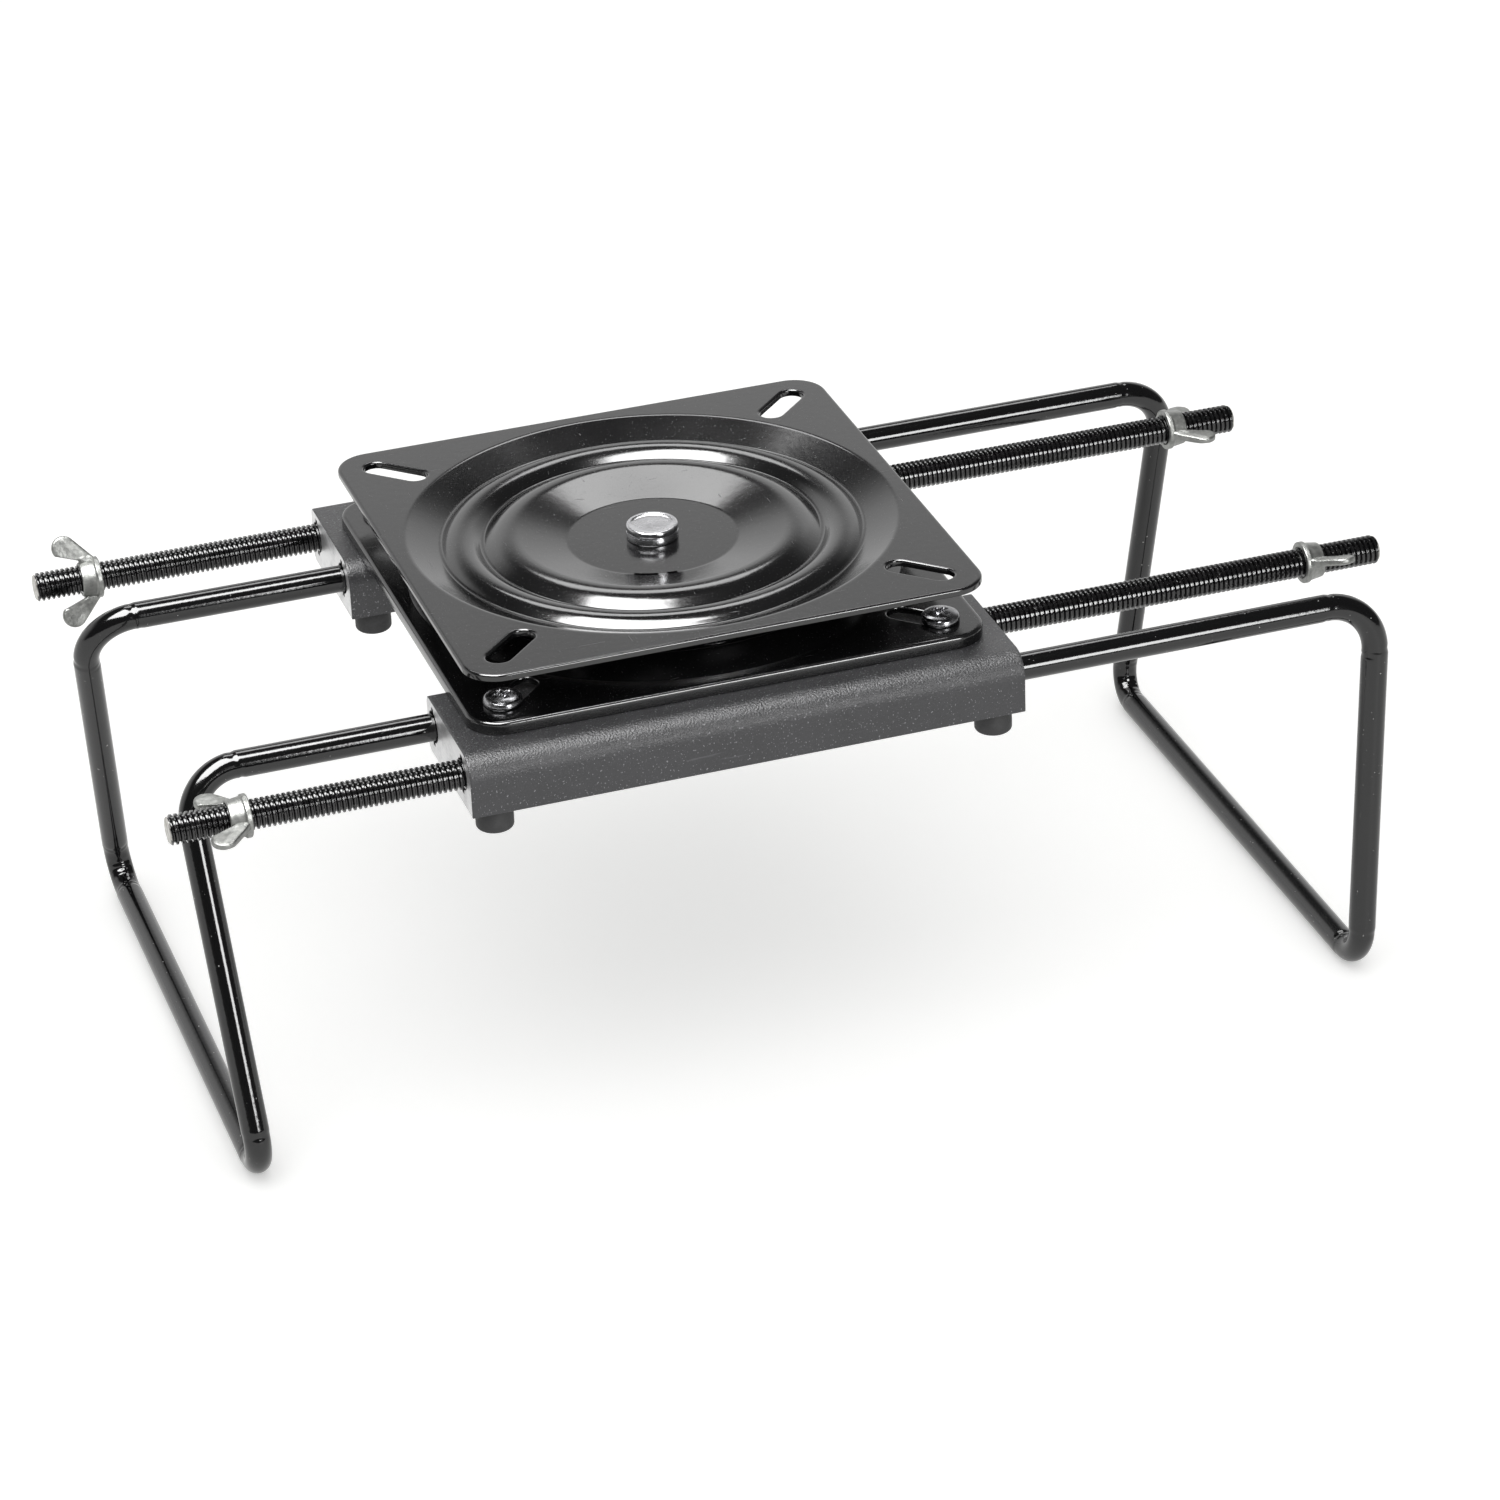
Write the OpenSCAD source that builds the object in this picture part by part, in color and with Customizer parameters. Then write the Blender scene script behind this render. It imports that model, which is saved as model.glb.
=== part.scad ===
// Swivel seat base with two sliding bench frames.
// Heights are measured from the floor under the lowest frame bar, in millimetres.
// X runs along the rails, Y across them, and the whole part is centred over the origin.

/* [Swivel plates] */
// Side of the two square plates
plate_w = 178; // [160:1:200]
// Sheet thickness of the plates
plate_t = 2.5; // [2:0.1:3]
// Corner radius of the plates
plate_corner_r = 12; // [6:1:20]
// Depth of the lower plate's folded rim
rim_h = 4.5; // [3.5:0.5:8]
// Radius where the pressed rings begin
press_r = 84; // [80:1:85]
// Distance from the pressing's rim in to the outer ring
outer_ring_inset = 12; // [11:0.5:13]
// Depth of the outer pressed ring
outer_ring_depth = 5; // [4:0.1:6]
// Distance from the outer ring in to the ball race
race_inset = 7; // [6.5:0.5:8]
// Depth of the ball race ridge below the plate's face
race_depth = 2; // [1:0.1:2.5]
// Distance from the ball race in to the inner ring
inner_ring_inset = 7.5; // [7:0.5:9]
// Depth of the inner pressed ring
inner_ring_depth = 5.4; // [4.5:0.1:6]
// Distance from the inner ring in to the inner ridge
inner_ridge_inset = 9.5; // [9:0.5:12]
// Depth of the inner ridge below the plate's face
inner_ridge_depth = 1.7; // [1:0.1:3]
// Distance from the inner ridge in to the flat centre disc
disc_inset = 19; // [18:0.5:22]
// Depth of the flat centre disc
disc_depth = 6.2; // [5.5:0.1:6.4]
// Fillet radius of the pressed rings' valleys
valley_fillet_r = 1.6; // [1:0.1:2]
// Fillet radius of the inner ridge
inner_ridge_fillet_r = 11; // [8:0.5:12]
// Fillet radius at the rim of the pressing
shoulder_fillet_r = 3.2; // [3.1:0.1:5]

/* [Seat slots] */
// Distance of each slot's middle from the plate's centre, along X and Y
slot_offset = 70.5; // [69:0.5:72]
// Overall length of the diagonal slots
slot_len = 24; // [16:0.5:25]
// Width of the diagonal slots
slot_w = 8.5; // [6.5:0.5:10]
// Width of the two curved slits at the edge of the centre disc
slit_w = 1.7; // [1:0.1:2.5]
// Start angle of the long slit
slit_a_start = 240; // [230:1:244]
// Sweep of the long slit
slit_a_sweep = 16; // [8:1:17]
// Start angle of the short slit
slit_b_start = 262; // [262:1:275]
// Sweep of the short slit
slit_b_sweep = 7; // [4:1:12]

/* [Ball race and pin] */
// Diameter of the race balls
ball_d = 10.7; // [10:0.1:11]
// Number of race balls
ball_count = 16; // [8:1:24]
// Thickness of the ball cage
cage_t = 1.2; // [0.8:0.1:1.5]
// Width of the ball cage's ring
cage_w = 14; // [13:0.5:15]
// Diameter of the pin's head
pin_head_d = 17.7; // [16:0.1:22]
// Height of the pin's head
pin_head_h = 5; // [3:0.5:6]
// Diameter of the pin's shank
pin_d = 10; // [8:0.5:12]
// Thickness of the washer under the riveted tail
tail_washer_t = 1; // [0.5:0.1:1.5]
// Height of the riveted tail
tail_h = 2.2; // [1:0.1:3]
// Diameter of the riveted tail
tail_d = 15; // [13:0.5:20]
// Diameter of the pin's two washers
washer_d = 26; // [21:0.5:30]

/* [Rails] */
// Length of the rails
rail_len = 190; // [182:1:260]
// Width of each rail
rail_w = 51.5; // [50:0.5:60]
// Height of each rail
rail_h = 20.5; // [19:0.5:24]
// Radius of the rail's big rounded edges
rail_round_r = 8; // [4:0.5:9]
// Radius of the rail's small rounded edges
rail_edge_r = 3; // [1:0.5:4]
// Height of the channels above the rail's underside
channel_h = 11.5; // [10:0.5:13]
// Channel distance from the swivel's centre line, inner channel
inner_channel_y = 58.2; // [57:0.1:59]
// Distance between the two channels of one rail
channel_gap = 34.3; // [30:0.1:36]
// Radial clearance of the threaded bars in the channels
channel_clearance = 0.3; // [0.3:0.05:0.6]
// Width of the notches along the channels
notch_w = 2; // [1:0.1:3]
// Depth of the notches along the channels
notch_depth = 1.4; // [0.5:0.1:2]

/* [Plate screws] */
// Screw distance from the swivel's centre, along X
screw_x = 75.5; // [74:0.1:76.5]
// Diameter of the screw heads
screw_head_d = 13; // [11:0.5:14]
// Height of the screw heads
screw_head_h = 3.5; // [2.5:0.1:4]
// Diameter of the screws
screw_d = 6; // [4:0.5:8]
// Length of the screws under the head
screw_len = 18; // [12:1:20]
// Size across the cross recess
recess_w = 6.6; // [5:0.1:8]
// Width of one arm of the cross recess
recess_arm = 1.5; // [1:0.1:2]
// Depth of the cross recess
recess_depth = 2; // [1:0.1:2.3]

/* [Bumpers] */
// Diameter of the rubber bumpers
bumper_d = 12.6; // [10:0.1:14]
// Height of the bumpers below the rails
bumper_h = 7.8; // [5:0.1:12]
// Bumper distance from the swivel's centre, along X
bumper_x = 86; // [82:0.5:87]
// Bumper centre's distance from the rail's near face
bumper_inset = 7; // [6.5:0.1:10]
// Diameter of the bumper's push-in stem
stem_d = 4.5; // [3:0.5:6]
// Length of the bumper's push-in stem
stem_len = 3; // [2:0.5:4]

/* [Frame bars] */
// Diameter of the smooth bars
bar_d = 9.3; // [8:0.1:9.6]
// Outer diameter of the rolled thread
thread_d = 10; // [9:0.1:11]
// Length of the thread at each end
thread_len = 150; // [145:1:180]
// Chamfer at the end of each thread
thread_chamfer = 0.9; // [0.5:0.1:1.5]
// How far the threaded ends are out of square, near one forward and far one back
end_skew = 2; // [0:0.5:4]
// Thinning of the bar's radius where it is bent
bend_thinning = 0.15; // [0.1:0.05:0.3]
// Bend radius at the top of the legs
upper_bend_r = 17; // [12:1:25]
// Bend radius at the foot of the legs
lower_bend_r = 11; // [8:1:16]

/* [Left frame] */
// Distance from the swivel's centre to the left legs
left_reach = 183; // [175:1:200]
// Length of the left frame's arms
left_arm_len = 422; // [415:1:450]
// Height of the left legs, between bar centres
left_leg_h = 126.4; // [100:0.1:131]
// Width of the left frame at the foot, between bar centres
left_foot_w = 217.4; // [150:0.1:230]
// How far the left legs lean towards the rails
left_lean = 8.5; // [4:0.5:12]
// How far the tops of the left legs are out of square, near one forward and far one back
left_skew = 4; // [0:0.5:6]

/* [Right frame] */
// Distance from the swivel's centre to the right legs
right_reach = 226; // [215:1:240]
// Length of the right frame's arms
right_arm_len = 420; // [412:1:450]
// Height of the right legs, between bar centres
right_leg_h = 131.5; // [100:0.1:150]
// Width of the right frame at the foot, between bar centres
right_foot_w = 218; // [190:1:240]
// How far the right legs lean towards the rails
right_lean = 10.7; // [0:0.1:14]

/* [Wing nuts] */
// Length of the wing nut's hub
hub_len = 7; // [6:0.5:10]
// Diameter of the hub's face
hub_d = 14.4; // [14:0.1:17]
// Taper of the hub over its length
hub_taper = 1.2; // [0:0.1:2]
// Distance between the wing tips
wing_span = 32; // [30:1:36]
// Thickness of the wings
wing_t = 2.8; // [2:0.1:4]
// How far the wings sweep back past the hub
wing_sweep = 8; // [4:0.5:9]
// Radius of the wing tips
wing_tip_r = 4.2; // [3:0.1:4.5]
// Radial clearance between nut and thread
nut_clearance = 0.05; // [0.03:0.01:0.08]
// Place of the near left nut along its free thread, from the rail (0) to the end (1)
place_left_near = 0.727; // [0.02:0.001:0.9]
// Place of the far left nut along its free thread
place_left_far = 0.772; // [0.02:0.001:0.9]
// Place of the near right nut along its free thread
place_right_near = 0.808; // [0.02:0.001:0.9]
// Place of the far right nut along its free thread
place_right_far = 0.817; // [0.02:0.001:0.9]
// Turn of the near left nut about its bar
turn_left_near = 94; // [0:1:180]
// Turn of the far left nut about its bar
turn_left_far = 158; // [0:1:180]
// Turn of the near right nut about its bar
turn_right_near = 70; // [0:1:180]
// Turn of the far right nut about its bar
turn_right_far = 88; // [0:1:180]

/* [Hidden] */

$fn = 64;
eps = 0.01;
arc_step = 12;
ball_clearance = 0.1;
seat_clearance = 0.05;
running_clearance = 0.05;
stem_clearance = 0.05;
cut = 1;
bend_lap = 0.5;

// Radii of the pressed rings, from the pressing's rim inwards
outer_ring_r = press_r - outer_ring_inset;
race_r = outer_ring_r - race_inset;
inner_ring_r = race_r - inner_ring_inset;
inner_ridge_r = inner_ring_r - inner_ridge_inset;
disc_r = inner_ridge_r - disc_inset;
race_fillet_r = ball_d / 2 + ball_clearance + plate_t;

// Places along Y. The channels sit a little towards each rail's far side.
outer_channel_y = inner_channel_y + channel_gap;
screw_y = (inner_channel_y + outer_channel_y) / 2;
rail_margin = (rail_w - channel_gap) / 2;
channel_bias = 1.4;
near_rail_face = -outer_channel_y - rail_margin - channel_bias;
far_rail_face = inner_channel_y - rail_margin - channel_bias;

// Heights above the floor
channel_z = max(left_leg_h, right_leg_h) + bar_d / 2;
rail_bottom = channel_z - channel_h;
rail_top = rail_bottom + rail_h;
lower_top = rail_top + rim_h;
race_gap = ball_d + 2 * ball_clearance;
plate_gap = race_gap + 2 * race_depth;
upper_bottom = lower_top + plate_gap;
upper_top = upper_bottom + plate_t;
race_z = lower_top + plate_gap / 2;
disc_top = upper_top - disc_depth;
disc_bottom = disc_top - plate_t;
lower_disc_top = lower_top + disc_depth;
lower_disc_bottom = lower_disc_top - plate_t;

// The swivel's place along X, so that the whole part is centred over the origin
left_end = min(right_reach - right_arm_len - end_skew, -left_reach - left_skew - bar_d / 2);
right_end = max(left_arm_len - left_reach + end_skew, right_reach + bar_d / 2);
swivel_x = -(left_end + right_end) / 2;

channel_r = thread_d / 2 + channel_clearance;

// Points of an arc about [cx, cy], from angle a0 to a1
function arc(cx, cy, r, a0, a1) =
    let (steps = max(2, ceil(abs(a1 - a0) / arc_step)))
    [for (i = [0 : steps]) let (a = a0 + (a1 - a0) * i / steps) [cx + r * cos(a), cy + r * sin(a)]];

// Slope of the straight between two level arcs that are w apart and h high, with radii that sum to rs
function ogee_angle(w, h, rs) =
    let (phi = atan2(w, rs - h), reach = sqrt(pow(rs - h, 2) + w * w))
    phi - acos(rs / reach);

// One flank of the pressing, from station p out to station q further in, both level there.
// A station is [radius, height, fillet, up], where up is 1 on a ridge and -1 in a valley.
function flank(p, q) =
    let (
        w = p[0] - q[0],
        h = abs(q[1] - p[1]),
        a = ogee_angle(w, h, p[2] + q[2]),
        start = arc(p[0], p[1] - p[3] * p[2], p[2], p[3] * 90, p[3] * (90 + a)),
        end = arc(q[0], q[1] - q[3] * q[2], q[2], q[3] * (90 - a), q[3] * 90)
    )
    concat(start, end);

// Outline of one face of the pressing, shift below the plate's top face
function press_face(shift) =
    let (
        stations = [
            [press_r, -shift, shoulder_fillet_r - shift, 1],
            [outer_ring_r, -outer_ring_depth - shift, valley_fillet_r + shift, -1],
            [race_r, -race_depth - shift, race_fillet_r - shift, 1],
            [inner_ring_r, -inner_ring_depth - shift, valley_fillet_r + shift, -1],
            [inner_ridge_r, -inner_ridge_depth - shift, inner_ridge_fillet_r - shift, 1],
            [disc_r, -disc_depth - shift, valley_fillet_r + shift, -1]
        ]
    )
    [for (i = [0 : len(stations) - 2]) each flank(stations[i], stations[i + 1])];

function reversed(points) = [for (i = [len(points) - 1 : -1 : 0]) points[i]];

// Unit vector, and the axes of a frame whose third axis is d
function unit(v) = v / norm(v);
function side_of(d) = abs(d[2]) < 0.9 ? unit(cross([0, 0, 1], d)) : unit(cross([0, 1, 0], d));

// Moves the children so that their X, Y and Z axes become a, b and c, at p
module along_axes(p, a, b, c) {
    multmatrix([
        [a[0], b[0], c[0], p[0]],
        [a[1], b[1], c[1], p[1]],
        [a[2], b[2], c[2], p[2]]
    ])
        children();
}

module at_swivel(z = 0) {
    translate([swivel_x, 0, z])
        children();
}

// Square with rounded corners, centred
module rounded_square(w, r) {
    square([w, w - 2 * r], center = true);
    square([w - 2 * r, w], center = true);
    for (sx = [-1, 1], sy = [-1, 1])
        translate([sx * (w / 2 - r), sy * (w / 2 - r)])
            circle(r);
}

// The four diagonal slots that both plates share
module seat_slots() {
    slot_straight = slot_len - slot_w;
    for (a = [45 : 90 : 315])
        rotate(a)
            translate([slot_offset * sqrt(2), 0]) {
                square([slot_straight, slot_w], center = true);
                for (s = [-1, 1])
                    translate([s * slot_straight / 2, 0])
                        circle(slot_w / 2);
            }
}

// The revolved pressing, top face at z = 0, with a hole for the pin
module pressing(hole_r) {
    top = press_face(0);
    bottom = press_face(plate_t);
    rotate_extrude($fn = 128)
        polygon(concat(
            [[press_r + eps, 0]],
            top,
            [[hole_r, -disc_depth], [hole_r, -disc_depth - plate_t]],
            reversed(bottom),
            [[press_r + eps, -plate_t]]
        ));
}

// Flat sheet with slots, open in the middle for the pressing
module sheet() {
    translate([0, 0, -plate_t])
        linear_extrude(plate_t)
            difference() {
                rounded_square(plate_w, plate_corner_r);
                circle(press_r, $fn = 128);
                seat_slots();
            }
}

// One of the curved slits at the edge of the centre disc
module slit(start, sweep) {
    rotate([0, 0, start])
        translate([0, 0, -disc_depth - plate_t - cut])
            rotate_extrude(angle = sweep)
                translate([disc_r - slit_w / 2, 0])
                    square([slit_w, plate_t + inner_ring_depth]);
}

module upper_plate() {
    color("#2b2b2d")
        at_swivel(upper_top)
            difference() {
                union() {
                    sheet();
                    pressing(pin_d / 2 + running_clearance);
                }
                slit(slit_a_start, slit_a_sweep);
                slit(slit_b_start, slit_b_sweep);
            }
}

module lower_plate() {
    color("#161617")
        at_swivel(lower_top) {
            sheet();
            // The same pressing turned over, so that the two grooves face each other
            translate([0, 0, -plate_t])
                mirror([0, 0, 1])
                    pressing(pin_d / 2 + running_clearance);
            translate([0, 0, -rim_h])
                linear_extrude(rim_h - plate_t)
                    difference() {
                        rounded_square(plate_w, plate_corner_r);
                        rounded_square(plate_w - 2 * plate_t, plate_corner_r - plate_t);
                    }
        }
}

module pivot_pin() {
    rim = 0.5;
    dish_edge = 0.25;
    dish_depth = 0.25;
    groove_depth = 0.5;
    groove_h = 0.9;
    groove_z = 0.45 * pin_head_h;
    tail_edge = 1;
    shank_bottom = lower_disc_bottom - tail_washer_t - 2 * seat_clearance;
    head_bottom = disc_top + seat_clearance;
    head_r = pin_head_d / 2;
    color("#c9c9cb")
        at_swivel(head_bottom)
            rotate_extrude()
                polygon([
                    [0, shank_bottom - tail_h - head_bottom],
                    [tail_d / 2 - tail_edge, shank_bottom - tail_h - head_bottom],
                    [tail_d / 2, shank_bottom - tail_h / 2 - head_bottom],
                    [tail_d / 2, shank_bottom - head_bottom],
                    [pin_d / 2, shank_bottom - head_bottom],
                    [pin_d / 2, 0],
                    [head_r, 0],
                    [head_r, groove_z],
                    [head_r - groove_depth, groove_z],
                    [head_r - groove_depth, groove_z + groove_h],
                    [head_r, groove_z + groove_h],
                    [head_r, pin_head_h - rim],
                    [head_r - rim, pin_head_h],
                    [head_r - 2 * rim, pin_head_h],
                    [head_r - 2 * rim - dish_edge, pin_head_h - dish_depth],
                    [0, pin_head_h - dish_depth]
                ]);
}

// Flat ring about the swivel's axis
module ring(outer_d, hole_d, t) {
    linear_extrude(t)
        difference() {
            circle(outer_d / 2);
            circle(hole_d / 2);
        }
}

module pivot_washer() {
    washer_t = disc_bottom - lower_disc_top - 2 * seat_clearance;
    color("#8f8f92")
        at_swivel(lower_disc_top + seat_clearance)
            ring(washer_d, pin_d + 2 * running_clearance, washer_t);
}

module tail_washer() {
    color("#8f8f92")
        at_swivel(lower_disc_bottom - seat_clearance - tail_washer_t)
            ring(washer_d, pin_d + 2 * running_clearance, tail_washer_t);
}

module race_balls() {
    color("#d4d4d6")
        at_swivel(race_z)
            for (i = [0 : ball_count - 1])
                rotate(i * 360 / ball_count)
                    translate([race_r, 0, 0])
                        sphere(ball_d / 2);
}

module ball_cage() {
    color("#9a8f6a")
        at_swivel(race_z - cage_t / 2)
            difference() {
                ring(2 * race_r + cage_w, 2 * race_r - cage_w, cage_t);
                for (i = [0 : ball_count - 1])
                    rotate(i * 360 / ball_count)
                        translate([race_r, 0, -cut])
                            cylinder(h = cage_t + 2 * cut, r = ball_d / 2 + ball_clearance);
            }
}

module plate_screws() {
    dome = 0.8;
    tip = 0.6;
    color("#b9babc")
        at_swivel(lower_top + seat_clearance)
            for (sx = [-1, 1], sy = [-1, 1])
                translate([sx * screw_x, sy * screw_y, 0])
                    difference() {
                        rotate_extrude()
                            polygon(concat(
                                [[0, -screw_len], [screw_d / 2 - tip, -screw_len],
                                    [screw_d / 2, tip - screw_len], [screw_d / 2, 0],
                                    [screw_head_d / 2, 0]],
                                [for (a = [0 : 15 : 90])
                                    [screw_head_d / 2 - 2 * dome * (1 - cos(a)),
                                        screw_head_h - 2 * dome * (1 - sin(a))]],
                                [[0, screw_head_h]]
                            ));
                        for (a = [0, 90])
                            rotate(a)
                                translate([-recess_w / 2, -recess_arm / 2, screw_head_h - recess_depth])
                                    cube([recess_w, recess_arm, recess_depth + cut]);
                    }
}

// Outline of a rail seen from its end, near face at y = 0, underside at z = 0
module rail_section() {
    polygon(concat(
        [[0, 0]],
        arc(rail_w - rail_edge_r, rail_edge_r, rail_edge_r, -90, 0),
        arc(rail_w - rail_edge_r, rail_h - rail_edge_r, rail_edge_r, 0, 90),
        arc(rail_round_r, rail_h - rail_round_r, rail_round_r, 90, 180)
    ));
}

// A rail with its near face at y = face and its channels at the two places given
module rail(face, channels) {
    screw_side = (channels[0] + channels[1]) / 2;
    difference() {
        translate([swivel_x - rail_len / 2, face, rail_bottom])
            rotate([90, 0, 90])
                linear_extrude(rail_len)
                    rail_section();
        for (y = channels)
            translate([swivel_x - rail_len / 2 - cut, y, channel_z])
                rotate([0, 90, 0]) {
                    cylinder(h = rail_len + 2 * cut, r = channel_r);
                    translate([-channel_r - notch_depth, -notch_w / 2, 0])
                        cube([2 * (channel_r + notch_depth), notch_w, rail_len + 2 * cut]);
                }
        for (s = [-1, 1]) {
            translate([swivel_x + s * screw_x, screw_side, lower_top - screw_len - cut])
                cylinder(h = screw_len, r = screw_d / 2 + running_clearance);
            translate([swivel_x + s * bumper_x, face + bumper_inset, rail_bottom - cut])
                cylinder(h = stem_len + cut + running_clearance, r = stem_d / 2 + stem_clearance);
        }
    }
}

module near_rail() {
    color("#3c3c3e")
        rail(near_rail_face, [-outer_channel_y, -inner_channel_y]);
}

module far_rail() {
    color("#3c3c3e")
        rail(far_rail_face, [inner_channel_y, outer_channel_y]);
}

// Rubber bumper with its push-in stem, pushed up against the rail's underside
module bumper(sx, face) {
    edge = 0.8;
    edge_round = 0.2;
    stem_edge = 0.4;
    color("#3a3a3b")
        at_swivel(rail_bottom)
            translate([sx * bumper_x, face + bumper_inset, 0])
                rotate_extrude()
                    polygon([
                        [0, -bumper_h],
                        [bumper_d / 2 - edge, -bumper_h],
                        [bumper_d / 2 - edge_round, -bumper_h + edge_round],
                        [bumper_d / 2, -bumper_h + edge],
                        [bumper_d / 2, 0],
                        [stem_d / 2, 0],
                        [stem_d / 2, stem_len - stem_edge],
                        [stem_d / 2 - stem_edge, stem_len],
                        [0, stem_len]
                    ]);
}

module bumper_near_left() {
    bumper(-1, near_rail_face);
}

module bumper_near_right() {
    bumper(1, near_rail_face);
}

module bumper_far_left() {
    bumper(-1, far_rail_face);
}

module bumper_far_right() {
    bumper(1, far_rail_face);
}

// Round bar from p to q
module bar(p, q) {
    d = unit(q - p);
    a = side_of(d);
    along_axes(p, a, cross(d, a), d)
        cylinder(h = norm(q - p), r = bar_d / 2);
}

// Length that a bend takes up on each side of its corner
function bend_take(d1, d2, r) = r * tan(acos(d1 * d2) / 2);

// Bent piece of bar at a corner, from direction d1 to direction d2, thinned by the bending tool.
// Its ends reach a little way into the straight bars.
module bend(corner, d1, d2, r) {
    turn = acos(d1 * d2);
    lap_angle = bend_lap / r * 180 / PI;
    inward = unit(d2 - (d1 * d2) * d1);
    start = corner - bend_take(d1, d2, r) * d1;
    along_axes(start + r * inward, -inward, d1, cross(-inward, d1))
        rotate(-lap_angle)
            rotate_extrude(angle = turn + 2 * lap_angle, $fn = 96)
                translate([r, 0])
                    circle(bar_d / 2 - bend_thinning);
}

// One arm and leg of a U frame, from the threaded end to the bend at the foot.
// end, top and foot are its corner points, and middle is the foot bar's middle.
module arm_and_leg(end, top, foot, middle) {
    d_arm = unit(top - end);
    d_leg = unit(foot - top);
    d_foot = unit(middle - foot);
    take_top = bend_take(d_arm, d_leg, upper_bend_r);
    take_foot = bend_take(d_leg, d_foot, lower_bend_r);
    side = side_of(d_arm);
    along_axes(end, side, cross(d_arm, side), d_arm) {
        cylinder(h = thread_chamfer, r1 = thread_d / 2 - thread_chamfer, r2 = thread_d / 2);
        translate([0, 0, thread_chamfer])
            cylinder(h = thread_len - thread_chamfer, r = thread_d / 2);
    }
    bar(end + (thread_len - bend_lap) * d_arm, top - take_top * d_arm);
    bend(top, d_arm, d_leg, upper_bend_r);
    bar(top + take_top * d_leg, foot - take_foot * d_leg);
    bend(foot, d_leg, d_foot, lower_bend_r);
}

// X of a frame's threaded end. side is -1 for the left frame and 1 for the right one, and s is -1
// for its near arm and 1 for its far arm.
function end_x(side, reach, arm_len, s) = swivel_x + side * (reach - arm_len) - s * end_skew;

// A whole U frame, with side as above. skew puts the tops of its legs out of square.
module u_frame(side, reach, arm_len, channel_y, leg_h, foot_w, lean, skew) {
    foot_x = swivel_x + side * (reach - lean);
    foot_z = channel_z - leg_h;
    tops = [for (s = [-1, 1]) [swivel_x + side * reach - s * skew, s * channel_y, channel_z]];
    feet = [for (s = [-1, 1]) [foot_x, s * foot_w / 2, foot_z]];
    middle = [foot_x, 0, foot_z];
    for (i = [0, 1])
        arm_and_leg([end_x(side, reach, arm_len, 2 * i - 1), tops[i][1], channel_z], tops[i],
            feet[i], middle);
    takes = [for (i = [0, 1])
        bend_take(unit(feet[i] - tops[i]), unit(middle - feet[i]), lower_bend_r)];
    bar(feet[0] + [0, takes[0], 0], feet[1] - [0, takes[1], 0]);
}

module left_frame() {
    color("#1d1d1e")
        u_frame(-1, left_reach, left_arm_len, inner_channel_y, left_leg_h, left_foot_w, left_lean,
            left_skew);
}

module right_frame() {
    color("#1d1d1e")
        u_frame(1, right_reach, right_arm_len, outer_channel_y, right_leg_h, right_foot_w,
            right_lean, 0);
}

// Outline of one wing: x runs along the bar, away from the rail, and y out from the bar
module wing_outline() {
    root_depth = 1.6;
    root_inset = 0.6;
    hub_r = hub_d / 2;
    tip_x = hub_len + wing_sweep - wing_tip_r;
    tip_y = wing_span / 2 - wing_tip_r;
    front_angle = 140;
    back_angle = -35;
    polygon(concat(
        [[root_inset, hub_r - root_depth], [root_inset, hub_r - hub_taper / 2]],
        arc(tip_x, tip_y, wing_tip_r, front_angle, back_angle),
        [[hub_len - root_inset, hub_r - hub_taper / 2], [hub_len - root_inset, hub_r - root_depth]]
    ));
}

// A wing nut about the X axis, face at x = 0, wings swept towards +x
module wing_nut() {
    bore_r = thread_d / 2 + nut_clearance;
    difference() {
        union() {
            rotate([0, 90, 0])
                cylinder(h = hub_len, r1 = hub_d / 2, r2 = hub_d / 2 - hub_taper);
            for (s = [0, 180])
                rotate([s, 0, 0])
                    rotate([90, 0, 0])
                        translate([0, 0, -wing_t / 2])
                            linear_extrude(wing_t)
                                wing_outline();
        }
        translate([-cut, 0, 0])
            rotate([0, 90, 0])
                cylinder(h = hub_len + 2 * cut, r = bore_r);
    }
}

// A wing nut between the rail and a threaded end at x = end. side is the end of the rails that it is
// on, place its place along the free thread, and turn its turn about the bar.
module placed_nut(side, end, y, place, turn) {
    rail_end = swivel_x + side * rail_len / 2;
    color("#a9aaac")
        translate([rail_end + place * (end - rail_end), y, channel_z])
            rotate([turn, 0, 0])
                mirror([side < 0 ? 1 : 0, 0, 0])
                    wing_nut();
}

// The left-hand nuts are on the right frame. s is -1 for the near one and 1 for the far one.
module left_nut(s, place, turn) {
    placed_nut(-1, end_x(1, right_reach, right_arm_len, s), s * outer_channel_y, place, turn);
}

// The right-hand nuts are on the left frame
module right_nut(s, place, turn) {
    placed_nut(1, end_x(-1, left_reach, left_arm_len, s), s * inner_channel_y, place, turn);
}

module nut_left_near() {
    left_nut(-1, place_left_near, turn_left_near);
}

module nut_left_far() {
    left_nut(1, place_left_far, turn_left_far);
}

module nut_right_near() {
    right_nut(-1, place_right_near, turn_right_near);
}

module nut_right_far() {
    right_nut(1, place_right_far, turn_right_far);
}

near_rail();
far_rail();
lower_plate();
upper_plate();
pivot_pin();
pivot_washer();
tail_washer();
race_balls();
ball_cage();
plate_screws();
bumper_near_left();
bumper_near_right();
bumper_far_left();
bumper_far_right();
left_frame();
right_frame();
nut_left_near();
nut_left_far();
nut_right_near();
nut_right_far();
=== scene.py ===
"""Dresses the swivel seat base: meshes, finishes, light, floor and camera around the frame."""

import logging
import math
from dataclasses import dataclass, field
from enum import Enum

import bmesh
import bpy
import numpy as np
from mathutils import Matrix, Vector, geometry


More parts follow.
